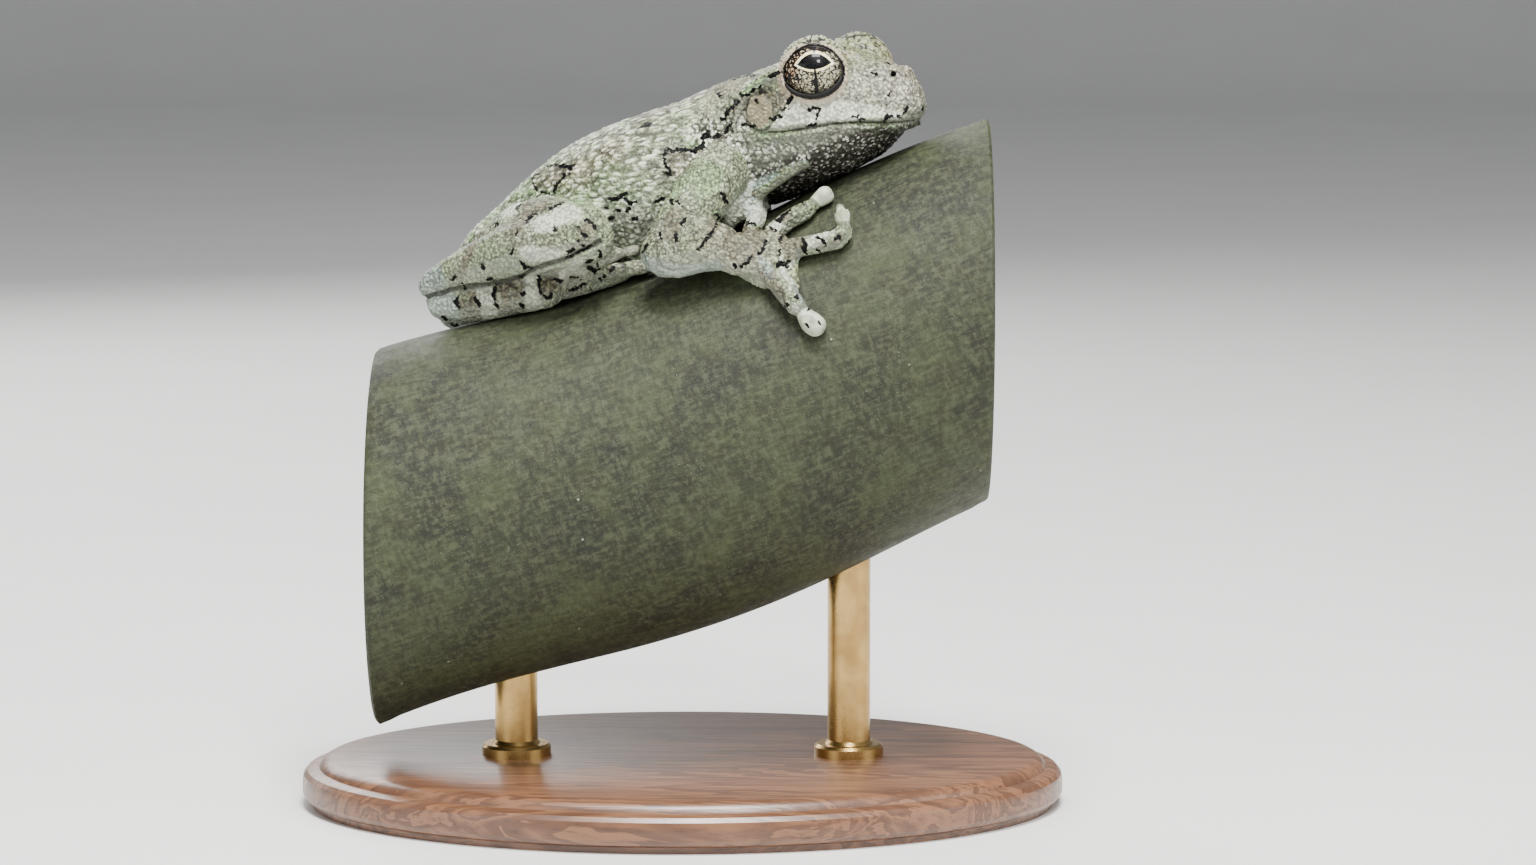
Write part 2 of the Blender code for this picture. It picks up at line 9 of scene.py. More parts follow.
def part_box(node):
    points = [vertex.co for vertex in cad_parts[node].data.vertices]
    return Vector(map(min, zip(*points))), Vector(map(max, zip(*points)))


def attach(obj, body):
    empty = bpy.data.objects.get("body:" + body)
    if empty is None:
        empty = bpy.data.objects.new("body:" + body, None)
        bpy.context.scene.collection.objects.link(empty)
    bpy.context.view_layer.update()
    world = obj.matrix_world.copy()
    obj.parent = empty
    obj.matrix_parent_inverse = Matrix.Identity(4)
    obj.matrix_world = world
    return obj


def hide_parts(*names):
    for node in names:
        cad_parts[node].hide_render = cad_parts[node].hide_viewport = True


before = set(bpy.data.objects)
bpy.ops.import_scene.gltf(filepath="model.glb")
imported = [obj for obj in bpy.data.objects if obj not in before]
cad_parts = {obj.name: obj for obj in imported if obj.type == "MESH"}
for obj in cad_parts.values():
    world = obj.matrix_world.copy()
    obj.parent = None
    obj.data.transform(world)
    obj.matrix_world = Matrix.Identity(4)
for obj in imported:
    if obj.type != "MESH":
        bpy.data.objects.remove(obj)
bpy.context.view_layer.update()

# A gray treefrog on a short cut limb over a small display base.
# Everything is in metres in the frame of the CAD; mm turns a millimetre into metres.
mm = 0.001
bpy.ops.object.select_all(action="DESELECT")


# Places that several pieces share.

limbPlace = {"rise": 20.4, "topHeight": 47.2, "radius": 15.0, "halfLength": 25.5}
headPlace = {"origin": (12.33, 1.8, 5.54), "yaw": -21.0, "pitch": 4.0}
eyePlace = {"centre": (3.85, 5.1, 4.6), "radius": 2.7, "forward": 18.0, "up": 12.0}

limbToWorld = Matrix.Translation((0.0, 0.0, limbPlace["topHeight"])) @ Matrix.Rotation(
    -math.radians(limbPlace["rise"]), 4, "Y"
)
headToLimb = (
    Matrix.Translation(headPlace["origin"])
    @ Matrix.Rotation(math.radians(limbPlace["rise"]), 4, "Y")
    @ Matrix.Rotation(math.radians(headPlace["yaw"]), 4, "Z")
    @ Matrix.Rotation(-math.radians(headPlace["pitch"]), 4, "Y")
)
headToWorld = limbToWorld @ headToLimb


def eyeToHead(side):  # side is -1 for the right eye and 1 for the left; +Y looks out of the head
    turn = Matrix.Rotation(-side * math.radians(eyePlace["forward"]), 4, "Z")
    turn = turn @ Matrix.Rotation(side * math.radians(eyePlace["up"]), 4, "X")
    x, y, z = eyePlace["centre"]
    return Matrix.Translation((x, side * y, z)) @ turn @ Matrix.Diagonal((1.0, side, 1.0, 1.0))


def eyeToWorld(side):
    return headToWorld @ eyeToHead(side)


def limbAxis(x):  # height of the limb's axis in the limb's own frame
    return np.sin((x - 8.0) / 9.0) - limbPlace["radius"]


def moved(points, matrix):
    turn = np.array(matrix.to_3x3())
    return points @ turn.T + np.array(matrix.translation)


def inHeadFrame(points):
    return moved(points, headToWorld.inverted())


def inLimbFrame(points):
    return moved(points, limbToWorld.inverted())


def inEyeFrame(points, side):
    return moved(points, eyeToWorld(side).inverted())


# Small helpers.


def only(thing):
    bpy.ops.object.select_all(action="DESELECT")
    thing.select_set(True)
    bpy.context.view_layer.objects.active = thing


def applyModifier(thing, kind, **settings):
    only(thing)
    step = thing.modifiers.new(kind.lower(), kind)
    for name, value in settings.items():
        setattr(step, name, value)
    bpy.ops.object.modifier_apply(modifier=step.name)


def applyPlace(thing):
    only(thing)
    bpy.ops.object.transform_apply(location=True, rotation=True, scale=True)


def startEdit(action):  # all selected or none, with SELECT or DESELECT
    bpy.ops.object.mode_set(mode="EDIT")
    bpy.ops.mesh.select_all(action=action)


def endEdit():
    bpy.ops.object.mode_set(mode="OBJECT")


def extrude(x, y, z):
    bpy.ops.mesh.extrude_region_move(TRANSFORM_OT_translate={"value": (x, y, z)})


def smoothShade(thing, degrees=None):
    only(thing)
    if degrees is None:
        bpy.ops.object.shade_smooth()
    else:
        bpy.ops.object.shade_smooth_by_angle(angle=math.radians(degrees))


def recalculate(thing):
    only(thing)
    startEdit("SELECT")
    bpy.ops.mesh.remove_doubles(threshold=1e-6)
    bpy.ops.mesh.normals_make_consistent(inside=False)
    endEdit()


def joined(things, name):
    bpy.ops.object.select_all(action="DESELECT")
    for thing in things:
        thing.select_set(True)
    bpy.context.view_layer.objects.active = things[0]
    if len(things) > 1:
        bpy.ops.object.join()
    things[0].name = name
    things[0].data.name = name
    return things[0]


def places(thing):  # the mesh's points in millimetres
    flat = np.empty(len(thing.data.vertices) * 3)
    thing.data.vertices.foreach_get("co", flat)
    return flat.reshape(-1, 3) / mm


def setPlaces(thing, points):
    thing.data.vertices.foreach_set("co", (points * mm).ravel())
    thing.data.update()


def facing(thing):
    flat = np.empty(len(thing.data.vertices) * 3, np.float32)
    thing.data.vertex_normals.foreach_get("vector", flat)
    return flat.reshape(-1, 3).astype(float)


def joinsOf(thing):
    flat = np.empty(len(thing.data.edges) * 2, np.int32)
    thing.data.edges.foreach_get("vertices", flat)
    return flat.reshape(-1, 2)


def keep(thing, name, values):  # a value per point, for the materials
    kind = "FLOAT_VECTOR" if values.ndim == 2 else "FLOAT"
    layer = thing.data.attributes.new(name, kind, "POINT")
    layer.data.foreach_set("vector" if values.ndim == 2 else "value", values.astype(np.float32).ravel())


def relaxed(points, edges, weight, rounds, keepSize=False):
    count = len(points)
    degree = np.bincount(edges.ravel(), minlength=count)[:, None]
    near = np.concatenate((edges[:, 0], edges[:, 1]))
    far = np.concatenate((edges[:, 1], edges[:, 0]))
    for turn in range(rounds):
        for factor in (0.5, -0.52) if keepSize else (0.5,):
            middle = np.empty_like(points)
            for axis in range(3):
                middle[:, axis] = np.bincount(near, points[far, axis], minlength=count)
            points = points + factor * weight[:, None] * (middle / degree - points)
    return points


def smoothStep(low, high, values):
    t = np.clip((values - low) / (high - low), 0.0, 1.0)
    return t * t * (3.0 - 2.0 * t)


def ridge(values, middle, half):  # a bell with that half width about the middle
    return np.exp(-(((values - middle) / half) ** 2))


def scatter(cells, seed):  # three numbers from 0 to 1 for each whole-numbered cell
    x, y, z = (cells[:, i].astype(np.int64) for i in range(3))
    mix = (x * 73856093) ^ (y * 19349663) ^ (z * 83492791) ^ (seed * 2654435761)
    result = []
    for turn in range(3):
        mix = (mix ^ (mix >> 13)) * 1274126177 & 0x7FFFFFFF
        mix = (mix ^ (mix >> 16)) & 0x7FFFFFFF
        result.append((mix & 0xFFFFF) / float(0xFFFFF))
    return np.stack(result, 1)


def pebbles(points, seed):  # distances to the nearest and second nearest of scattered points
    cell = np.floor(points)
    first = np.full(len(points), 9.0)
    second = np.full(len(points), 9.0)
    for i in (-1, 0, 1):
        for j in (-1, 0, 1):
            for k in (-1, 0, 1):
                near = cell + (i, j, k)
                reach = np.linalg.norm(near + 0.15 + 0.7 * scatter(near, seed) - points, axis=1)
                second = np.minimum(second, np.maximum(first, reach))
                first = np.minimum(first, reach)
    return first, second


def swell(points, seed):  # smooth noise from -1 to 1
    cell = np.floor(points)
    part = points - cell
    part = part * part * (3.0 - 2.0 * part)
    total = np.zeros(len(points))
    for i in (0, 1):
        for j in (0, 1):
            for k in (0, 1):
                share = np.ones(len(points))
                for axis, corner in enumerate((i, j, k)):
                    share *= part[:, axis] if corner else 1.0 - part[:, axis]
                total += share * scatter(cell + (i, j, k), seed)[:, 0]
    return 2.0 * total - 1.0


# The camera, the lights and the floor.

view = {
    "seen": (8.26, 0.0, 57.5),     # the middle of the photograph's own frame
    "aim": (7.2, 0.0, 31.3),       # lower, so that the stand shows too
    "distance": 400.0,
    "elevation": 3.0,
    "frameWidth": 128.5,
}
sideView = {
    "unit": 0.07,                  # mm at the frog
    "middle": (768.0, 432.5),
    "nearest": 360.0,              # mm from the eye point, where the search for the bark starts
    "furthest": 400.0,
    "halvings": 40,
}
tilt = math.radians(view["elevation"])
away = (0.0, math.cos(tilt), -math.sin(tilt))      # the direction of sight, and up in the picture
upward = (0.0, math.sin(tilt), math.cos(tilt))
eyePoint = Vector(view["seen"]) - Vector(away) * view["distance"]
look = Vector(view["aim"]) - eyePoint
bpy.ops.object.camera_add(location=eyePoint * mm, rotation=look.to_track_quat("-Z", "Y").to_euler())
camera = bpy.context.object
camera.data.lens = camera.data.sensor_width * look.length / view["frameWidth"]
camera.data.clip_start = 0.01
bpy.context.scene.camera = camera

# Each light's place, size and power; all of them look at the frog's middle.
lightsAim = (4.0, 0.0, 45.0)
lights = {
    "overhead": ((20.0, -150.0, 420.0), 150.0, 4.7),
    "key": ((88.0, -330.0, 350.0), 70.0, 1.5),
    "front": ((-420.0, -340.0, 190.0), 300.0, 1.0),
    "side": ((420.0, -160.0, 200.0), 320.0, 1.1),
    "behind": ((-160.0, 340.0, 260.0), 300.0, 1.6),
}
for name, (place, size, power) in lights.items():
    bpy.ops.object.light_add(type="AREA", location=Vector(place) * mm)
    lamp = bpy.context.object
    lamp.name = name
    lamp.data.size = size * mm
    lamp.data.energy = power
    lamp.rotation_euler = (Vector(lightsAim) - Vector(place)).to_track_quat("-Z", "Y").to_euler()
world = bpy.data.worlds.new("softRoom")
world.use_nodes = True
sky = world.node_tree.nodes["Background"]
sky.inputs["Color"].default_value = (0.86, 0.90, 0.95, 1.0)
sky.inputs["Strength"].default_value = 0.30
bpy.context.scene.world = world

# The floor's far edge bends up into a backdrop, in metres.
floorForm = {"size": 2.4, "bends": 12, "bendStep": 0.05, "backdrop": 1.6}
bpy.ops.mesh.primitive_plane_add(size=floorForm["size"], location=(0.0, 0.0, 0.0))
floor = bpy.context.object
floor.name = "floor"
startEdit("DESELECT")
endEdit()
for edge in floor.data.edges:
    edge.select = all(floor.data.vertices[i].co.y > 0.4 * floorForm["size"] for i in edge.vertices)
bpy.ops.object.mode_set(mode="EDIT")
bpy.ops.mesh.select_mode(type="EDGE")
for step in range(floorForm["bends"]):
    angle = math.radians(90.0 * (step + 0.5) / floorForm["bends"])
    extrude(0.0, floorForm["bendStep"] * math.cos(angle), floorForm["bendStep"] * math.sin(angle))
extrude(0.0, 0.0, floorForm["backdrop"])
endEdit()
smoothShade(floor)
print("camera, lights and floor are in place")


# Helpers for the materials.


def newMaterial(name):
    material = bpy.data.materials.new(name)
    material.use_nodes = True
    tree = material.node_tree
    return material, tree, tree.nodes["Principled BSDF"]


def fill(tree, step, inputs):  # links or sets a node's inputs
    for name, value in inputs.items():
        if isinstance(value, bpy.types.NodeSocket):
            tree.links.new(value, step.inputs[name])
        else:
            step.inputs[name].default_value = value


def put(tree, kind, inputs, **settings):
    step = tree.nodes.new(kind)
    for name, value in settings.items():
        setattr(step, name, value)
    fill(tree, step, inputs)
    return step


def mathNode(tree, operation, first, second=0.0):
    return put(tree, "ShaderNodeMath", {0: first, 1: second}, operation=operation).outputs[0]


def sumsIn(tree):  # the four sums that the finishes use most
    def times(first, second):
        return mathNode(tree, "MULTIPLY", first, second)

    def plus(first, second):
        return mathNode(tree, "ADD", first, second)

    def minus(first, second):
        return mathNode(tree, "SUBTRACT", first, second)

    def most(first, second):
        return mathNode(tree, "MAXIMUM", first, second)

    return times, plus, minus, most


def blendColour(tree, share, first, second):
    return put(tree, "ShaderNodeMix", {0: share, 6: first, 7: second}, data_type="RGBA").outputs[2]


def addBump(tree, shader, height, strength, deep):  # deep is in millimetres
    bump = put(tree, "ShaderNodeBump", {"Height": height, "Strength": strength, "Distance": deep * mm})
    tree.links.new(bump.outputs[0], shader.inputs["Normal"])


def ramp(tree, value, low, high, fromValue=0.0, toValue=1.0):
    step = put(
        tree,
        "ShaderNodeMapRange",
        {"Value": value, "From Min": low, "From Max": high, "To Min": fromValue, "To Max": toValue},
        interpolation_type="SMOOTHSTEP",
    )
    return step.outputs[0]


def kept(tree, name, output="Fac"):
    return put(tree, "ShaderNodeAttribute", {}, attribute_name=name).outputs[output]


def inMillimetres(tree, turn=(0.0, 0.0, 0.0), stretch=(1.0, 1.0, 1.0)):
    place = put(tree, "ShaderNodeTexCoord", {}).outputs["Object"]
    scale = tuple(s / mm for s in stretch)
    first = put(tree, "ShaderNodeMapping", {"Vector": place, "Rotation": turn}).outputs[0]
    return put(tree, "ShaderNodeMapping", {"Vector": first, "Scale": scale}).outputs[0]


def noise(tree, place, size, detail=2.0, roughness=0.5, distortion=0.0):
    inputs = {
        "Vector": place,
        "Scale": 1.0 / size,
        "Detail": detail,
        "Roughness": roughness,
        "Distortion": distortion,
    }
    return put(tree, "ShaderNodeTexNoise", inputs).outputs["Fac"]


def cells(tree, place, size, feature="F1", output="Distance", smooth=None):
    inputs = {"Vector": place, "Scale": 1.0 / size}
    if smooth is not None:
        inputs["Smoothness"] = smooth
    return put(tree, "ShaderNodeTexVoronoi", inputs, feature=feature).outputs[output]


def rgb(*shown):  # red, green and blue as a screen shows them, 0 to 255
    shares = [part / 255.0 for part in shown]
    return tuple(((c + 0.055) / 1.055) ** 2.4 if c > 0.04 else c / 12.92 for c in shares) + (1.0,)


floorMaterial, floorTree, floorShader = newMaterial("paleFloor")
grain = noise(floorTree, inMillimetres(floorTree), 40.0, 3.0)
fill(floorTree, floorShader, {
    "Base Color": blendColour(floorTree, grain, (0.70, 0.69, 0.67, 1.0), (0.76, 0.75, 0.73, 1.0)),
    "Roughness": 0.7,
})
floor.data.materials.append(floorMaterial)


# The skin is one mesh over all the flesh nodes.

fleshNodes = ["head", "lower_jaw", "torso"]
for limbName in ("upper_arm", "forearm", "hand", "thigh", "shank", "foot"):
    fleshNodes += [limbName + "_right", limbName + "_left"]

skinForm = {
    "swell": 0.2,                  # mm that each solid grows, so that neighbours meet
    "voxel": 0.15,                 # mm
    "quickVoxel": 0.26,
    "triangles": 158000,           # before the faces along the dark marks are split
    "lidOpening": (3.90, 2.6, 2.56),
    "lidPlace": (-0.16, 3.4, -0.63),
    "socket": 2.76,
    "lidTurn": 8.0,                # degrees
    "elbowRise": 0.32,             # mm, as the rest
    "snoutBack": 0.30,
    "snoutDown": 0.26,
    "chinRise": 0.34,
    "lipsBack": (0.45, 0.46),      # the upper lip and the lower one at the snout's tip
}
voxelSize = skinForm["voxel"]
nowhere = 9.0                      # mm, stands for far away from everything
# The opening between the lids, in the eye's own frame.
lidOval = {"middle": (-0.16, -0.34), "half": (2.50, 2.15)}


def lidReach(inEye):  # 1 on the lids' edge, more outside
    across, up = lidOval["middle"]
    halfAcross, halfUp = lidOval["half"]
    return np.hypot((inEye[:, 0] - across) / halfAcross, (inEye[:, 2] - up) / halfUp)


def fleshCopy(node):
    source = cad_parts[node]
    copy = bpy.data.objects.new("copy_" + node, source.data.copy())
    bpy.context.scene.collection.objects.link(copy)
    copy.data.materials.clear()
    only(copy)
    startEdit("SELECT")
    bpy.ops.mesh.remove_doubles(threshold=1e-6)
    bpy.ops.transform.shrink_fatten(value=skinForm["swell"] * mm)
    endEdit()
    return copy


def cutWith(thing, radius, place, stretch):
    bpy.ops.mesh.primitive_uv_sphere_add(segments=64, ring_count=32, radius=radius * mm)
    tool = bpy.context.object
    shape = place @ Matrix.Diagonal((*stretch, 1.0))
    inMetres = shape.copy()
    inMetres.translation = shape.translation * mm
    tool.data.transform(inMetres)
    recalculate(tool)
    applyModifier(thing, "BOOLEAN", operation="DIFFERENCE", object=tool, solver="MANIFOLD")
    bpy.data.objects.remove(tool, do_unlink=True)


def openEyes(head):
    for side in (-1.0, 1.0):
        eye = eyeToWorld(side)
        cutWith(head, skinForm["socket"], eye, (1.0, 1.0, 1.0))
        opening = eye @ Matrix.Translation(skinForm["lidPlace"])
        cutWith(head, 1.0, opening, skinForm["lidOpening"])


# Soft forms between the solids, as rows of (across, down, radius in mm) in the side view of the right side.
# Those of chestFold lie at the given y in mm, the others at the given height over the bark.
softForms = {
    "chestFold": [(708, 552, 0.85, -4.3), (712, 545, 0.95, -3.95), (717, 538, 0.97, -3.7),
                  (723, 531, 0.94, -3.55), (730, 525, 0.90, -3.5), (737, 520, 0.86, -3.6),
                  (744, 516, 0.82, -3.75), (751, 511, 0.78, -3.9), (758, 507, 0.74, -4.1),
                  (765, 503, 0.70, -4.3), (772, 499, 0.64, -4.55), (779, 495, 0.58, -4.8),
                  (786, 491, 0.50, -5.0), (793, 487, 0.42, -5.2)],
    "padTips": [(820.5, 521, 0.82, 0.95), (838.5, 538, 0.60, 1.20), (809.0, 677, 0.95, 0.75)],
    "palmEdge": [(716, 606, 0.55, 0.45), (723, 610, 0.60, 0.45), (730, 614, 0.62, 0.45),
                 (737, 618, 0.62, 0.45), (743, 622, 0.60, 0.45), (749, 626, 0.50, 0.45)],
    "web": [(777, 598, 0.62, 0.40), (779, 604, 0.60, 0.38), (780, 610, 0.56, 0.36), (781, 616, 0.50, 0.34),
            (782, 622, 0.44, 0.32), (784, 628, 0.38, 0.30), (786, 634, 0.30, 0.28)],
}


def fromSideView(form, row):  # the middle of a soft form's ball, on its line of sight
    across, down, radius, place = row
    offset = Vector((
        (across - sideView["middle"][0]) * sideView["unit"], 0.0,
        (sideView["middle"][1] - down) * sideView["unit"],
    ))
    sideways = Vector((1.0, 0.0, 0.0)) * offset.x + Vector(upward) * offset.z
    sight = Vector(away) + sideways / view["distance"]
    if form == "chestFold":
        return eyePoint + sight * ((place - eyePoint.y) / sight.y)
    near = sideView["nearest"]
    far = sideView["furthest"]
    for turn in range(sideView["halvings"]):
        middle = 0.5 * (near + far)
        local = limbToWorld.inverted() @ (eyePoint + sight * middle)
        height = math.hypot(local.y, local.z - float(limbAxis(local.x))) - limbPlace["radius"]
        if height > place:
            near = middle
        else:
            far = middle
    return eyePoint + sight * near


def inSideView(points):
    offset = points - np.array(eyePoint)
    scale = view["distance"] / sideView["unit"] / (offset @ np.array(away))
    across = sideView["middle"][0] + offset[:, 0] * scale
    down = sideView["middle"][1] - (offset @ np.array(upward)) * scale
    return np.stack((across, down), 1)


def softBalls(form):
    balls = []
    for row in softForms[form]:
        bpy.ops.mesh.primitive_uv_sphere_add(
            segments=24, ring_count=12, radius=(row[2] + skinForm["swell"]) * mm,
            location=fromSideView(form, row) * mm,
        )
        ball = bpy.context.object
        applyPlace(ball)
        balls.append(ball)
    return balls


copies = [fleshCopy(node) for node in fleshNodes]
openEyes(copies[0])
for form in softForms:
    copies += softBalls(form)
skin = joined(copies, "frogSkin")
applyModifier(skin, "REMESH", mode="VOXEL", voxel_size=voxelSize * mm)
print("skin remeshed:", len(skin.data.vertices), "points")
smoothShade(skin)

# The solids' joints are smoothed away, and folds that skin really has are kept.
softPairs = [("head", "torso"), ("head", "lower_jaw"), ("torso", "lower_jaw")]
for side in ("_right", "_left"):
    softPairs += [
        ("torso", "thigh" + side),
        ("thigh" + side, "shank" + side),
        ("torso", "upper_arm" + side),
        ("upper_arm" + side, "forearm" + side),
        ("forearm" + side, "hand" + side),
    ]
heel = (-20.6, 0.2, 2.6)           # in the limb's frame


def nodeDistances(points, reach=2.5):
    result = {}
    for node in fleshNodes:
        low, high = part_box(node)
        low = np.array(low) / mm - reach
        high = np.array(high) / mm + reach
        near = np.nonzero(np.all((points > low) & (points < high), axis=1))[0]
        tree = BVHTree.FromPolygons(
            [v.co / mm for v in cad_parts[node].data.vertices],
            [tuple(p.vertices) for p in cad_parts[node].data.polygons],
        )
        values = np.full(len(points), nowhere)
        for i in near:
            found = tree.find_nearest(Vector(points[i]), reach)
            if found[3] is not None:
                values[i] = found[3]
        result[node] = values
    return result


def softReach(points, forms):  # distance from those soft forms' surface
    best = np.full(len(points), nowhere)
    for form in forms:
        for row in softForms[form]:
            reach = np.linalg.norm(points - np.array(fromSideView(form, row)), axis=1)
            best = np.minimum(best, np.abs(reach - row[2]))
    return best


points = places(skin)
edges = joinsOf(skin)
distances = nodeDistances(points)
inHead = inHeadFrame(points)
seam = np.zeros(len(points))
for first, second in softPairs:
    gap = np.maximum(distances[first], distances[second])
    share = 1.0 - smoothStep(0.5, 1.4, gap)
    if (first, second) == ("head", "lower_jaw"):
        share *= 1.0 - smoothStep(-0.2, 0.8, inHead[:, 0])
    seam = np.maximum(seam, share)
heelReach = np.linalg.norm(inLimbFrame(points) - np.array(heel), axis=1)
seam = np.maximum(seam, 1.0 - smoothStep(1.2, 2.6, heelReach))
seam = np.maximum(seam, 1.0 - smoothStep(0.3, 0.8, softReach(points, softForms)))
rounds = int(round(0.9 / voxelSize ** 2))
points = relaxed(points, edges, seam, rounds)
points = relaxed(points, edges, np.ones(len(points)), 3, keepSize=True)
setPlaces(skin, points)

# The skin goes back to the solids' own surface, except around the eyes and where it rests on the bark.
inLimb = inLimbFrame(points)
overBark = np.hypot(inLimb[:, 1], inLimb[:, 2] - limbAxis(inLimb[:, 0])) - limbPlace["radius"]
eyeReach = np.minimum.reduce([np.linalg.norm(inEyeFrame(points, side), axis=1) for side in (-1.0, 1.0)])
back = skinForm["swell"] * smoothStep(0.2, 0.9, overBark) * smoothStep(2.82, 3.1, eyeReach)
points -= facing(skin) * back[:, None]

# The upper lids come a little further down over the balls.
for side in (-1.0, 1.0):
    local = inEyeFrame(points, side)
    share = smoothStep(0.2, 1.4, local[:, 2]) * smoothStep(1.75, 1.25, lidReach(local)) * (local[:, 1] > 0.0)
    share *= np.linalg.norm(local, axis=1) < 3.9
    turn = math.radians(skinForm["lidTurn"]) * share
    y = local[:, 1] * np.cos(turn) + local[:, 2] * np.sin(turn)
    local[:, 2] = local[:, 2] * np.cos(turn) - local[:, 1] * np.sin(turn)
    local[:, 1] = y
    points[share > 0.0] = moved(local, eyeToWorld(side))[share > 0.0]

# The elbow's underside is a little higher than the solids have it.
across, down = inSideView(points).T
elbow = smoothStep(592.0, 608.0, across) * smoothStep(694.0, 672.0, across) * smoothStep(596.0, 614.0, down)
elbow *= np.minimum(distances["upper_arm_right"], distances["forearm_right"]) < 1.2
points[:, 2] += skinForm["elbowRise"] * elbow

# The snout is a little shorter and the chin higher than the solids have them.
inHead = inHeadFrame(points)
lipLine = ((-0.4, 3.68, 5.58, 7.45, 12.0), (0.05, 0.15, 0.38, 0.33, 0.02))
lipHeight = inHead[:, 2] - np.interp(inHead[:, 0], *lipLine)
forward = smoothStep(6.5, 11.0, inHead[:, 0])
inHead[:, 0] -= skinForm["snoutBack"] * forward
inHead[:, 2] -= skinForm["snoutDown"] * forward * smoothStep(1.2, 3.6, lipHeight)
inHead[:, 2] += skinForm["chinRise"] * smoothStep(3.5, 8.5, inHead[:, 0]) * smoothStep(-0.3, -1.6, lipHeight)
upperBack, lowerBack = skinForm["lipsBack"]
lipsBack = upperBack * smoothStep(0.9, 0.1, lipHeight)
lipsBack += lowerBack * smoothStep(0.25, -0.3, lipHeight) * smoothStep(-1.5, -0.6, lipHeight)
inHead[:, 0] -= lipsBack * smoothStep(9.6, 11.0, inHead[:, 0])
headPart = np.minimum(distances["head"], distances["lower_jaw"]) < 1.5
points[headPart] = moved(inHead, headToWorld)[headPart]
setPlaces(skin, points)
print("skin smoothed at the joints,", rounds, "rounds")


# The frog's markings are places in a side view of its right side, written as (across, down).
# The left side gets the same marks mirrored, with its own unevenness.

# Rows that two regions use.
forearmPatch = [
    (708, 562), (724, 557), (745, 560), (752, 566), (750, 580), (742, 592), (733, 600), (722, 607),
    (710, 600), (698, 592), (702, 574),
]
chestPatch = [
    (706, 552), (712, 540), (728, 524), (748, 510), (776, 492), (800, 480), (806, 488), (784, 503),
    (756, 522), (738, 540), (720, 556),
]
rumpFold = [
    (435, 538), (448, 529), (463, 524), (478, 523), (490, 522), (510, 524), (522, 528), (532, 534),
    (540, 545), (546, 555), (551, 562), (558, 573),
]
shankFold = [
    (345, 645), (356, 641), (365, 639), (375, 636), (390, 634), (402, 632), (420, 630), (430, 628),
    (445, 625), (460, 620), (475, 612), (490, 606), (510, 600), (520, 596), (530, 590), (545, 583),
    (554, 577),
]

